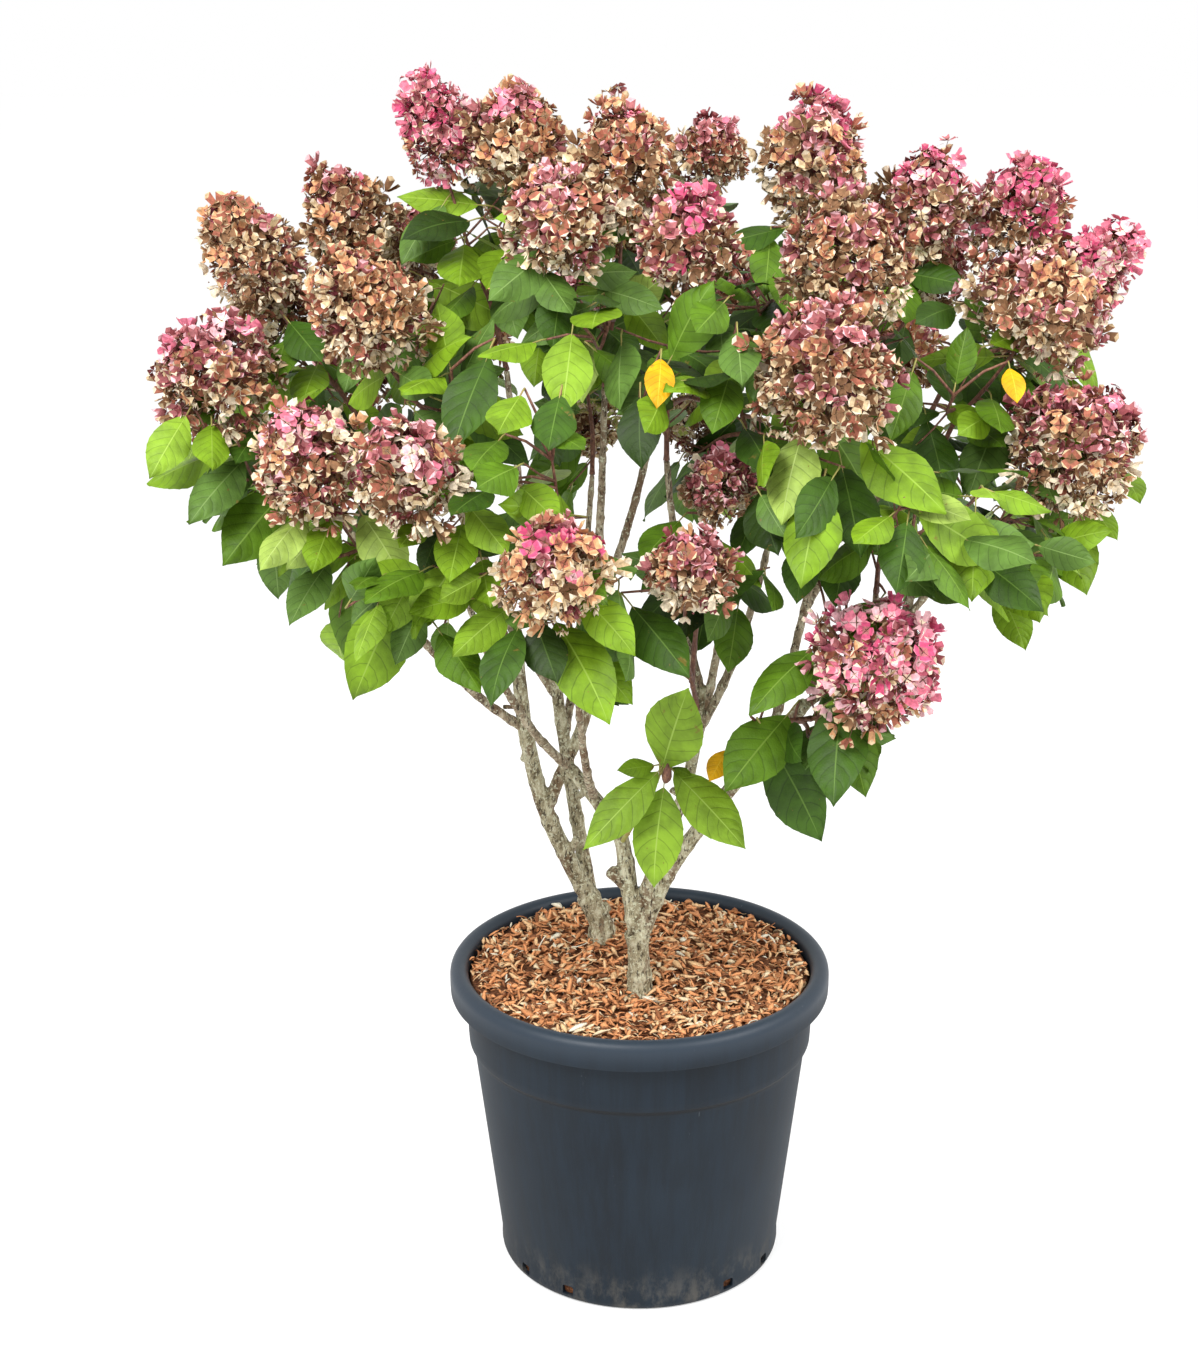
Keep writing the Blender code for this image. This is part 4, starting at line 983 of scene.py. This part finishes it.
def turned(first, second, angle):
    """The first direction turned towards the second."""
    return first * math.cos(angle) + second * math.sin(angle)


def leaf_frame(node, heading, direction, roll, swing):
    """Which way a leaf points and faces: out along its heading, its face up and to the light."""
    to_light = Vector((0, math.copysign(0.7, node.y - CROWN_BACK), 0))
    facing = direction + UP * 0.8 + to_light
    way = (Matrix.Rotation(swing, 3, direction) @ heading).normalized()
    face = (facing - way * facing.dot(way)).normalized()
    return way, Matrix.Rotation(roll, 3, way) @ face


leaves = {name: [] for name in MASSES}
blade_middles = []


def add_leaf(name, root, way, face, length, tint, flat=False, breadth=1.0):
    """A stalk from the shoot, and the blade on its end."""
    blade = length * (1 - LEAF_STALK)
    start = root + way * length * LEAF_STALK
    side = face.cross(way).normalized()
    curved = len(leaf_shapes) - len(flat_shapes)
    number = curved + leaf_dice.randrange(len(flat_shapes)) if flat else leaf_dice.randrange(curved)
    turn = np.array((way * blade, side * blade * breadth * leaf_dice.uniform(0.90, 1.04), face * blade))
    leaves[name].append((number, turn, np.array(start), [3 * tint, 3 * tint + 2, 3 * tint + 1]))
    blade_middles.append(root + way * length * LEAF_MIDDLE)
    knee = root.lerp(start, 0.5) + face * length * 0.008
    add_stem([root, knee, start, start + way * length * 0.05], [0.0013, 0.0010, 0.0009, 0.0004], 4, 1)


tint_dice = random.Random(31)


def tint_with_painted_light(place):
    """Partly painted light and shade: sunnier greens high, in front and at the left, cooler and darker
    inside and low.
    """
    out = min(1.0, math.hypot(place.x, place.y - 0.02) / 0.45)
    high = (place.z - 0.80) / 0.55
    # Painted light: the brighter tints go where the lamps fall, high up, in front and on the left.
    painted_lightness = 0.55 * out + 0.45 * high + (0.25 if place.y < -0.1 else 0.0)
    painted_lightness += 0.35 if place.x < -0.15 else -0.15 if place.x < 0.2 else 0.0
    weights = (
        max(0.05, 0.9 * painted_lightness - 0.25), max(0.1, 1.3 * painted_lightness - 0.1), 1.6, 1.1, max(0.2, 1.3 - painted_lightness),
        max(0.1, 0.9 - painted_lightness), 0.12, 0.012)
    return tint_dice.choices(range(len(weights)), weights)[0]


# The leaves that show best from the front hang here: each from the base of its blade to its tip, in
# millimetres, on a twig from the nearest shoot of its mass, with the blade turned to the light in front.
# The deep and dark tints in this table stand partly for painted shade, where a leaf sits in the crown's
# shadow.
SEEN_LEAVES = {
    "left_tip_mass": [
        (-502, -112, 1097, -534, -172, 1041, BRIGHT), (-442, -105, 1046, -494, -177, 992, COOL),
        (-401, -77, 1005, -461, -164, 941, MID), (-474, -112, 1088, -463, -181, 1052, FRESH),
        (-428, -66, 1071, -445, -141, 1052, DEEP)],
    "left_low_mass": [
        (-359, -217, 1014, -402, -280, 967, PALE), (-331, -217, 1005, -345, -283, 965, FRESH),
        (-341, -189, 950, -377, -255, 899, COOL), (-299, -206, 1008, -250, -257, 947, PALE)],
    "left_front_mass": [
        (-257, -271, 931, -310, -271, 817, FRESH), (-186, -249, 982, -236, -324, 918, BRIGHT),
        (-178, -297, 1041, -134, -348, 1002, BRIGHT), (-167, -270, 975, -154, -342, 944, FRESH),
        (-138, -302, 932, -194, -356, 896, BRIGHT), (-210, -302, 905, -164, -353, 856, MID),
        (-306, -282, 934, -273, -327, 991, COOL), (-225, -290, 1022, -247, -335, 1007, FRESH),
        (-211, -262, 1008, -228, -300, 967, DARK)],
    "front_low_mass": [
        (-124, -372, 931, -152, -441, 870, DEEP), (-107, -372, 939, -82, -426, 889, DARK),
        (-86, -356, 933, -28, -425, 846, FRESH), (-58, -372, 963, -3, -423, 918, FRESH),
        (-41, -315, 992, -8, -387, 988, COOL), (-123, -310, 1065, -80, -373, 1041, FRESH),
        (-143, -312, 1114, -168, -387, 1100, MID), (-121, -312, 1160, -140, -387, 1138, FRESH),
        (-81, -312, 1160, -91, -378, 1118, DEEP), (-102, -312, 1124, -54, -375, 1119, MID),
        (-154, -310, 1061, -190, -379, 1052, DEEP), (-69, -290, 1029, -142, -345, 1055, FRESH),
        (-105, -240, 1115, -82, -280, 1079, DARK)],
    "front_middle_mass": [
        (-8, -309, 936, 52, -375, 880, DEEP), (107, -214, 906, 95, -271, 850, MID),
        (43, -233, 1009, 1, -293, 981, MID), (54, -223, 962, 1, -277, 944, DEEP)],
    "crest_mass": [
        (-71, -212, 1206, -81, -266, 1129, BRIGHT), (-48, -186, 1184, 7, -225, 1144, MID),
        (-109, -212, 1197, -167, -266, 1192, FRESH), (-98, -134, 1281, -161, -179, 1236, COOL),
        (-107, -134, 1263, -71, -191, 1223, COOL), (-47, -114, 1239, 26, -147, 1222, COOL)],
    "left_inner_mass": [
        (-160, -212, 1182, -196, -284, 1095, DEEP), (-208, -85, 1030, -242, -154, 1012, MID)],
    "left_crest_mass": [
        (-250, 109, 1215, -137, 109, 1158, BRIGHT), (-271, 88, 1159, -286, 40, 1094, COOL)],
    "centre_mass": [
        (1, -272, 1151, 1, -323, 1085, DARK), (45, -176, 1180, 86, -242, 1164, DEEP),
        (101, -262, 1216, 103, -331, 1175, COOL), (94, -262, 1174, 74, -316, 1121, MID),
        (111, -242, 1111, 136, -308, 1077, DEEP), (22, -275, 1191, 18, -315, 1147, YELLOW)],
    "crest_right_mass": [
        (148, 11, 1277, 140, -43, 1219, MID)],
    "right_front_mass": [
        (168, -284, 1114, 143, -347, 1034, PALE), (187, -322, 1066, 161, -394, 980, FRESH),
        (212, -267, 1074, 228, -339, 996, DEEP), (230, -284, 1110, 312, -356, 1049, FRESH),
        (132, -172, 1011, 103, -229, 964, DEEP)],
    "right_middle_mass": [
        (293, -172, 1158, 267, -217, 1091, MID), (414, -64, 1071, 361, -106, 1007, COOL),
        (401, -150, 1158, 406, -185, 1127, YELLOW), (399, -80, 1080, 364, -135, 1012, COOL),
        (318, -110, 1093, 337, -165, 1010, DEEP), (343, -80, 1100, 383, -120, 1087, FRESH),
        (351, -60, 1210, 302, -110, 1201, DEEP), (330, -55, 1058, 296, -118, 1026, MID)],
    "right_high_mass": [
        (362, 64, 1137, 416, -2, 1079, DEEP)],
    "right_low_mass": [
        (274, -337, 1034, 259, -391, 973, DEEP), (354, -262, 1027, 344, -334, 948, FRESH),
        (257, -257, 927, 220, -323, 903, MID)],
    "right_tip_mass": [
        (410, -109, 968, 455, -178, 920, COOL), (483, -25, 962, 509, -106, 890, FRESH),
        (509, -12, 987, 547, -72, 945, FRESH), (399, -170, 911, 421, -230, 863, FRESH),
        (547, -12, 1013, 568, -87, 995, FRESH)],
    "right_sprig_mass": [
        (183, -291, 882, 113, -348, 830, MID), (161, -254, 797, 90, -329, 736, MID),
        (139, -265, 774, 203, -265, 651, DEEP), (216, -291, 826, 201, -381, 740, DEEP),
        (96, -235, 749, 76, -262, 722, YELLOW), (224, -200, 972, 209, -255, 918, DEEP),
        (178, -200, 973, 169, -250, 921, DEEP)],
    "left_high_mass": [
        (-408, 18, 1159, -411, -51, 1121, MID), (-373, 26, 1129, -385, -43, 1092, FRESH)],
    "front_sprig_mass": [
        (25, -222, 723, 52, -245, 824, BRIGHT), (21, -224, 720, -64, -262, 641, BRIGHT),
        (27, -226, 702, 14, -256, 591, BRIGHT), (38, -224, 720, 119, -264, 643, BRIGHT),
        (17, -219, 725, -25, -245, 729, FRESH), (36, -218, 722, 58, -236, 719, FRESH)],
}
ROSETTE_BREADTHS = (1.25, 0.74, 0.96, 0.80, 0.86, 0.80)
seat_dice = random.Random(15)
for name, hung in SEEN_LEAVES.items():
    joints = [along(path, share)[0] for path, _, _, _ in shoots[name] for share in tapered(0.1, 1, 24)]
    breadths = ROSETTE_BREADTHS if name == ROSETTE else [1.0] * len(hung)
    for (*ends, tint), breadth in zip(hung, breadths):
        base, tip = in_metres(ends[:3]), in_metres(ends[3:])
        way = (tip - base).normalized()
        length = (tip - base).length / (1 - LEAF_STALK)
        root = tip - way * length
        joint = min(joints, key=lambda point: (point - root).length + 0.3 * max(0.0, point.z - root.z))
        light = Vector((seat_dice.uniform(-0.3, 0.3) + 0.5 * way.x, -0.85, seat_dice.uniform(0.25, 0.75)))
        face = (light - way * light.dot(way)).normalized()
        add_leaf(name, root, way, face, length, tint, name == ROSETTE, breadth)
        if (joint - root).length > 0.004:
            bend = joint.lerp(root, 0.55) + UP * (joint - root).length * 0.08
            add_stem([joint, bend, root], [0.0019, 0.0016, 0.0013], 5, 1 if name == ROSETTE else 0)
add_stem([(0.029, -0.224, 0.708), (0.030, -0.232, 0.716), (0.031, -0.238, 0.726), (0.031, -0.240, 0.735)],
         [0.0030, 0.0060, 0.0046, 0.0008], 7, 0)
seen_middles = list(blade_middles)
TAKEN_ROUND = 0.036
TIP_TOLERANCE = 0.0004
# The crown's lower edge as it shows from in front, on the upright plane through the pot's middle.
LOWER_EDGE = np.array((
    (-0.60, 1.000), (-0.53, 0.938), (-0.45, 0.877), (-0.41, 0.813), (-0.35, 0.718), (-0.29, 0.768),
    (-0.24, 0.790), (-0.19, 0.712), (-0.14, 0.768), (-0.09, 0.740), (-0.03, 0.690), (0.01, 0.745),
    (0.06, 0.791), (0.11, 0.753), (0.15, 0.680), (0.23, 0.539), (0.28, 0.592), (0.31, 0.672),
    (0.36, 0.784), (0.41, 0.830), (0.47, 0.784), (0.51, 0.853), (0.56, 0.920), (0.60, 1.040)))


def hangs_low(place):
    spread = FRONT_POINT.y / (FRONT_POINT.y - place.y)
    level = FRONT_POINT.z + (place.z - FRONT_POINT.z) * spread
    return level < np.interp(place.x * spread, LOWER_EDGE[:, 0], LOWER_EDGE[:, 1])


def is_taken(place):
    return any((middle - place).length < TAKEN_ROUND for middle in seen_middles)


for number, (name, planned) in enumerate(shoots.items()):
    if name == ROSETTE:
        continue
    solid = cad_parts[name].data
    tips = KDTree(len(solid.vertices))
    for index, vert in enumerate(solid.vertices):
        tips.insert(vert.co, index)
    tips.balance()

    def standing(node, heading, direction, size, roll):
        """The frame and size of the leaf that the solid has here, if it has one."""
        for share, swing in LEAF_TRIES:
            way, face = leaf_frame(node, heading, direction, roll, swing)
            if tips.find(node + (way - face * 0.13) * size * share)[2] < TIP_TOLERANCE:
                return way, face, size * share
        return None

    dice = random.Random(300 + number)
    for path, _, _, _ in planned:
        pairs = max(2, round(path_length(path) * 0.80 / PAIR_SPACING))
        turn = dice.uniform(0, math.pi)
        for pair in range(pairs):
            node, direction = along(path, 0.97 - 0.80 * pair / (pairs - 0.5))
            first, second = side_frame(direction)
            for half in range(2):
                angle = turn + pair * math.pi / 2 + half * math.pi + dice.uniform(-0.35, 0.35)
                outwards = turned(first, second, angle)
                droop = dice.uniform(0.40, 1.20)
                size = LEAF_LENGTH * dice.uniform(0.84, 1.14)
                roll = dice.uniform(-0.5, 0.5)
                on_twig = pair > 0 and dice.random() < 0.10
                twig_size = 0.075 * dice.uniform(0.7, 1.2)
                nods = [dice.uniform(-0.25, 0.25) for _ in range(3)]
                if not on_twig:
                    heading = outwards * 0.85 + direction * 0.35 - UP * droop
                    found = standing(node, heading, direction, size, roll)
                    if found:
                        way, face, size = found
                        middle = node + way * size * LEAF_MIDDLE
                        if not is_taken(middle) and not in_window(middle):
                            add_leaf(name, node, way, face, size * 0.97, tint_with_painted_light(node + way * size))
                    continue
                heading = (outwards * 0.8 + direction * 0.6).normalized()
                tip = node + heading * twig_size
                side = heading.cross(UP).normalized()
                grown = []
                for twig_turn, nod in zip((-1.25, 0.0, 1.25), nods):
                    leaf_heading = turned(heading, side, twig_turn) - UP * (0.45 + nod)
                    start = tip - heading * 0.0022 * (1.5 + abs(twig_turn) * 3)
                    found = standing(start, leaf_heading, heading, size, nod)
                    if found and not is_taken(start + found[0] * found[2] * LEAF_MIDDLE):
                        grown.append((start, *found))
                if grown:
                    bend = node.lerp(tip, 0.5) - UP * twig_size * 0.04
                    add_stem([node, bend, tip], [0.0020, 0.0018, 0.0014], 5, 0)
                for start, way, face, leaf_size in grown:
                    add_leaf(name, start, way, face, leaf_size * 0.97, tint_with_painted_light(start + way * leaf_size))

# Finer twigs: weaker side shoots between the pairs, each with a leaf or three, that fill the crown within
# the same reach.
TWIG_SPACING = 0.012
FREE_ROUND = 0.027
low_corner, high_corner = (Vector(corner) for corner in cad_box)
fill_dice = random.Random(77)
for name, planned in shoots.items():
    if name == ROSETTE:
        continue
    for path, _, _, _ in planned:
        for _ in range(max(8, round(path_length(path) / TWIG_SPACING))):
            node, direction = along(path, fill_dice.uniform(0.12, 0.98))
            first, second = side_frame(direction)
            angle = fill_dice.uniform(0, 2 * math.pi)
            outwards = turned(first, second, angle)
            twig_length = fill_dice.choice((0.0, 0.0, 0.030, 0.050, 0.075))
            heading = (outwards * 0.9 + direction * fill_dice.uniform(0.2, 0.7)).normalized()
            tip = node + heading * twig_length
            size = LEAF_LENGTH * fill_dice.uniform(0.58, 0.96)
            droop = fill_dice.uniform(0.2, 1.1)
            roll = fill_dice.uniform(-0.5, 0.5)
            turns = (0.0,) if twig_length < 0.04 else (-1.2, 0.0, 1.2)
            side = heading.cross(UP).normalized()
            grown = []
            for twig_turn in turns:
                start = tip - heading * abs(twig_turn) * 0.006
                leaf_heading = turned(heading, side, twig_turn) - UP * droop
                way, face = leaf_frame(start, leaf_heading, heading, roll, 0.0)
                end = start + way * size
                middle = start + way * size * LEAF_MIDDLE
                inside = all(low + 0.002 < value < high - 0.002
                             for low, value, high in zip(low_corner, end, high_corner))
                free = all((middle - other).length > FREE_ROUND for other in blade_middles)
                if inside and free and owned(name, end) and owned(name, middle) and not (
                        in_window(end) or in_window(middle) or hangs_low(end) or hangs_low(middle)):
                    grown.append((start, way, face))
            if grown and twig_length:
                bend = node.lerp(tip, 0.5) - UP * twig_length * 0.03
                add_stem([node, bend, tip], [0.0015, 0.0013, 0.0010], 4, 0)
            for start, way, face in grown:
                add_leaf(name, start, way, face, size, tint_with_painted_light(start + way * size))

# The flower heads: cones of four-petalled florets in small clusters, fresh pink at the tips and faded to
# russet, tan and cream below, on fine red-brown stalks with the seeds of tiny inner flowers between them.
BLOOM_TINTS = (
    ("magenta_sepal", (204, 80, 118)), ("pink_sepal", (228, 126, 148)), ("rose_sepal", (244, 192, 198)),
    ("mauve_sepal", (172, 104, 106)), ("wine_sepal", (130, 62, 66)), ("russet_sepal", (168, 102, 81)),
    ("amber_sepal", (211, 157, 113)), ("brown_sepal", (138, 101, 71)), ("tan_sepal", (216, 190, 150)),
    ("cream_sepal", (244, 228, 200)), ("lime_sepal", (198, 204, 118)))
# A letter stands for each tint in turn. Under it are the tint of its heart and that of its edge.
LETTERS = "mpovwrabtcl"
HEARTS = [LETTERS.index(letter) for letter in "vocwbbrbbtt"]
EDGES = [LETTERS.index(letter) for letter in "ppoovtttccc"]
MAUVE, WINE, RUSSET, BROWN, CREAM = (LETTERS.index(letter) for letter in "vwrbc")
# The top, middle and bottom third of each kind of head: its tints, with their shares as digits.
MOODS = {
    "pink": "m3p5o4v1 p4v3m1o3r2a1t1 v2r3c2a2b2o1",
    "loose": "m4p4v3o1 m2p3v4w1o1 v3p2w2r2o1",
    "rose": "m5p4v4o1 v5p2m2r2b2o1 r3a3c2t2b2",
    "flame": "m3p3v4r2o1 r4a3v4t1b3p1 a2b4c3t2v1",
    "mauve": "v5p2w2o1r1 v4r4b3a1c1 b4t3c3r2",
    "wine": "w3v5p2r2 w2v4r4b4a1c1 b4r2c3t2",
    "russet": "v3r4a2b1p1 r4b5a2v2t2 b5c4t3r1",
    "amber": "a3r3p2v4t1 a4r4b4t2v3 b6c4t3a1r1",
    "honey": "a5r4p1v2t2 a6r4b3t3v1 b5c4t4a1",
    "straw": "v4r3t1a2o1 v3r3b4t2c2 c4b4t3v1",
    "chestnut": "w1v4p3r2o3c1 v3r4b2a3c4t3 b2r3c5t3",
    "ember": "m3p1v2r2a3 r2a8b2t5 a6t7c3b2",
    "blush": "p3m4v4w2 v4r3b6m1w1 b5r3c1t1v2",
    "copper": "r4a1v5b3 r4b6a2t1v2 b6c3t2r2",
    "bright": "m3p6o4 p5o3v2m2r1 o2p3c3a2v2",
    "lime": "l4t2a1 l3t3b2 t3b3c1",
}


def dealt(code):
    """The tints of a third of a head by their numbers, each with its share."""
    return {LETTERS.index(tint): int(share) for tint, share in zip(code[::2], code[1::2])}


moods = {mood: [dealt(code) for code in codes.split()] for mood, codes in MOODS.items()}
bloom_finishes = []
for name, tint in BLOOM_TINTS:
    sepal = Finish(name, srgb(*tint), 0.66, 0.18)
    veining = sepal.noise(220, 3)
    sepal.feed(Colour=sepal.blend(veining.between(0.3, 0.7), shaded(tint, 0.62), shaded(tint, 1.02)))
    sepal.bump(veining, 0.0010, 0.8)
    bloom_finishes.append(sepal)


def floret_shape(cup, curl, breadth, seed):
    """Four rounded sepals round a bead, in a cup or curled back. The floret is one across, its face up Z."""
    dice = random.Random(seed)
    corners, triangles, roles = [], [], []
    for petal in range(4):
        size = dice.uniform(0.80, 1.12)
        around = petal * math.pi / 2 + dice.uniform(-0.16, 0.16)
        tilt = dice.uniform(-0.14, 0.20)
        first = len(corners)
        for reach, half in ((0.03, 0.0), (0.19, 0.190), (0.39, 0.238), (0.495, 0.0)):
            for side in ((0,) if half == 0.0 else (-1, 0, 1)):
                out = reach * size
                across = side * half * breadth * size
                rim = abs(side)
                z = (cup * (out + 0.4 * rim * half) ** 2 * 0.9 - curl * max(0.0, out - 0.26) ** 2 * 5
                     + tilt * out + dice.uniform(-0.025, 0.025))
                corners.append((out * math.cos(around) - across * math.sin(around),
                                out * math.sin(around) + across * math.cos(around), z))
        base, left, middle, right, far_left, far_middle, far_right, tip = range(first, first + 8)
        triangles += [
            (base, middle, left), (base, right, middle), (left, middle, far_middle),
            (left, far_middle, far_left), (middle, right, far_right), (middle, far_right, far_middle),
            (far_left, far_middle, tip), (far_middle, far_right, tip)]
        roles += [1, 1, 0, 0, 0, 0, 2, 2]
    bead = len(corners)
    corners += [(0.045, 0, 0.03), (-0.02, 0.04, 0.03), (-0.02, -0.04, 0.03), (0, 0, 0.08)]
    triangles += [(bead, bead + 3, bead + 1), (bead + 1, bead + 3, bead + 2), (bead + 2, bead + 3, bead)]
    roles += [3, 3, 3]
    return np.array(corners), np.array(triangles)[:, ::-1], np.array(roles)


floret_shapes = [floret_shape(cup, curl, breadth, seed) for seed, (cup, curl, breadth) in enumerate((
    (0.7, 0.0, 1.0), (1.0, 0.4, 0.95), (0.4, 0.6, 1.0), (1.8, 0.0, 0.92), (2.4, 0.0, 0.85),
    (1.4, 1.6, 0.90), (3.0, 0.0, 0.72), (-0.8, 1.8, 0.80), (2.6, 2.2, 0.62)))]
OPEN, CUPPED, CURLED = (0, 1, 2), (3, 4, 5), (6, 7, 8)
GOLDEN_ANGLE = 2.39996
CLUSTER_AREA = 0.0014
USUAL_WIDTH = 0.108
bloom_dice = random.Random(64)
florets = {name: [] for name in MASSES}
seeds = []
octahedron = (
    np.array([(1, 0, 0), (-1, 0, 0), (0, 1, 0), (0, -1, 0), (0, 0, 1), (0, 0, -1)], dtype=float),
    np.array([(0, 2, 4), (2, 1, 4), (1, 3, 4), (3, 0, 4), (2, 0, 5), (1, 2, 5), (3, 1, 5), (0, 3, 5)]))


def pick(mood, band):
    """A tint for a third of a head, dealt out by the shares of its mood."""
    weights = moods[mood][band]
    return bloom_dice.choices(list(weights), list(weights.values()))[0]


def band_at(up, rise):
    """Which third of a head a floret is in, by how far up its axis it is and how far it faces the sky."""
    high = 0.45 * up + 0.55 * rise
    return 0 if high > 0.42 else 1 if high > -0.30 else 2


def on_ball(number, count, start, shift):
    """Even places on a ball of radius one: how far up, how far out and the turn, which chance shifts."""
    up = -0.97 + 1.95 * (number + 0.5) / count
    around = number * GOLDEN_ANGLE + start + bloom_dice.uniform(-shift, shift)
    return up, math.sqrt(max(0.0, 1 - up * up)), around


for name, planned in shoots.items():
    for path, head, (length, width), mood in planned:
        if not length:
            continue
        aim = along(path, 1)[1]
        first, second = side_frame(aim)
        area = math.pi * width * length
        cluster_count = round(area / CLUSTER_AREA)
        small = min(1.0, (width / USUAL_WIDTH) ** 0.5)
        slim = 0.90 if mood == "loose" else 1.0
        clusters = []
        for number in range(cluster_count):
            up, flat, around = on_ball(number, cluster_count, 0.7, 0.25)
            clusters.append((flat * math.cos(around), flat * math.sin(around), up))
        clusters = np.array(clusters)
        reaches = [bloom_dice.uniform(0.80, 1.14) for _ in clusters]
        favourites = [
            pick(mood, band_at(up, (aim * up + first * east + second * north).z))
            for east, north, up in clusters]
        spread = 2.6 / cluster_count
        # Each layer of florets has its depth in the head and the distance between florets.
        layers = ((0.0, 0.0165), (0.35, 0.024)) if mood == "loose" else ((0.0, 0.0162), (0.20, 0.0200))
        for layer, (depth, spacing) in enumerate(layers):
            count = round(area * (1 - depth) ** 2 / (spacing * small) ** 2)
            for number in range(count):
                up, flat, around = on_ball(number, count, layer, 0.12)
                ball = np.array((flat * math.cos(around), flat * math.sin(around), up))
                nearness = clusters @ ball
                branch = nearness.argmax()
                nearest = clusters[branch]
                bump = max(0.0, 1 - (1 - nearness.max()) / spread)
                reach = reaches[branch] * (0.61 + 0.36 * bump ** 0.7)
                lump = (1 - depth) * (reach + bloom_dice.uniform(-0.07, 0.05))
                spoke = turned(first, second, around)
                radius = width / 2 * slim * flat * (1.02 - 0.30 * up)
                place = head + (aim * up * length / 2 + spoke * radius) * lump
                lean = (ball - nearest) * 1.6
                normal = aim * (up + lean[2]) + first * (ball[0] + lean[0]) + second * (ball[1] + lean[1])
                tilt = Vector([bloom_dice.gauss(0, 0.34) for _ in range(3)])
                normal = (normal + tilt + UP * 0.10).normalized()
                spin = bloom_dice.uniform(0, math.pi)
                one, two = side_frame(normal)
                band = band_at(up + bloom_dice.uniform(-0.6, 0.6), (aim * up + spoke * flat).z)
                tint = favourites[branch] if bloom_dice.random() < 0.35 else pick(mood, band)
                # Painted shade: three in four florets of the inner layer are dark brown, russet or wine, to
                # darken the gaps between the outer florets.
                if layer and bloom_dice.random() < 0.75:
                    tint = bloom_dice.choice((BROWN, BROWN, RUSSET, WINE))
                kinds = (OPEN * 2 + CUPPED, OPEN + CUPPED * 2 + CURLED, OPEN + CUPPED + CURLED * 2)[band]
                size = bloom_dice.uniform(0.0178, 0.0268) * (1.0, 0.98, 0.90)[band] * small
                turn = np.array((
                    turned(one, two, spin) * size,
                    (two * math.cos(spin) - one * math.sin(spin)) * size, normal * size))
                edge = CREAM if band and bloom_dice.random() < 0.4 else EDGES[tint]
                parts = [tint, HEARTS[tint], edge, BROWN]
                florets[name].append((bloom_dice.choice(kinds), turn, np.array(place), parts))
                if number % 2 == 0 and not layer:
                    inner = head + aim * (up * length / 2 * 0.5 - 0.02 * length) + spoke * radius * 0.10
                    bend = inner.lerp(place, 0.6) - UP * 0.002
                    add_stem([inner, bend, place], [0.0008, 0.0006, 0.0004], 3, 0)
                if bloom_dice.random() < 0.6:
                    seat = place + normal * bloom_dice.uniform(-0.012, 0.003)
                    seat += spoke * bloom_dice.uniform(-0.01, 0.01)
                    seeds.append((0, np.diag([bloom_dice.uniform(0.0009, 0.0018)] * 3), np.array(seat),
                                  [bloom_dice.choice((RUSSET, WINE, BROWN, MAUVE, CREAM))]))
        axis = [head - aim * length * 0.5, head, head + aim * length * 0.40]
        add_stem(axis, [SHOOT_RADII[1] * 0.8, 0.0014, 0.0007], 5, 0)

# All that grows on the masses is joined by kind, in pieces for the left, right and rear of the crown. The
# dry seeds between the florets are one piece, and the red-brown shoots and green leaf stalks another.
LEFT = [name for name in MASSES if name.startswith(("left", "crest_left", "front_low", "front_sprig"))]
REAR = [name for name in MASSES if name.startswith(("rear", "crest_rear", "crest_mass", "right_rear"))]
RIGHT = [name for name in MASSES if name not in LEFT + REAR]
for part, group in (("left", LEFT), ("right", RIGHT), ("rear", REAR)):
    for kind, grown, shapes, finishes in (
            ("_leaves", leaves, leaf_shapes, leaf_finishes),
            ("_flower_heads", florets, floret_shapes, bloom_finishes)):
        piece = strewn(part + kind, [copy for name in group for copy in grown[name]], shapes, finishes)
        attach(piece, "root")
        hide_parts(*group)
seed_piece = strewn("flower_seeds", seeds, [(*octahedron, np.zeros(8, dtype=int))], bloom_finishes)

shoot_wood = Finish("young_shoot_bark", srgb(112, 74, 60), 0.6, 0.35)
lenticels = shoot_wood.noise(300, 3, (1, 1, 0.5))
shoot_wood.feed(Colour=shoot_wood.ramp(
    lenticels, (0.3, srgb(78, 48, 42)), (0.55, srgb(116, 76, 60)), (0.8, srgb(158, 118, 92))))
green_stalk = Finish("leaf_stalks", srgb(150, 150, 78), 0.5, 0.35)
green_stalk.feed(Colour=green_stalk.blend(green_stalk.noise(80), srgb(150, 104, 72), srgb(150, 172, 84)))
shoots_piece = strewn(
    "shoots_and_stalks",
    [(number, np.eye(3), np.zeros(3), [tint]) for number, (_, _, tint) in enumerate(stem_parts)],
    [(corners, triangles, np.zeros(len(triangles), dtype=int)) for corners, triangles, _ in stem_parts],
    [shoot_wood, green_stalk])
for piece in (seed_piece, shoots_piece):
    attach(piece, "root")
    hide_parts(*MASSES)
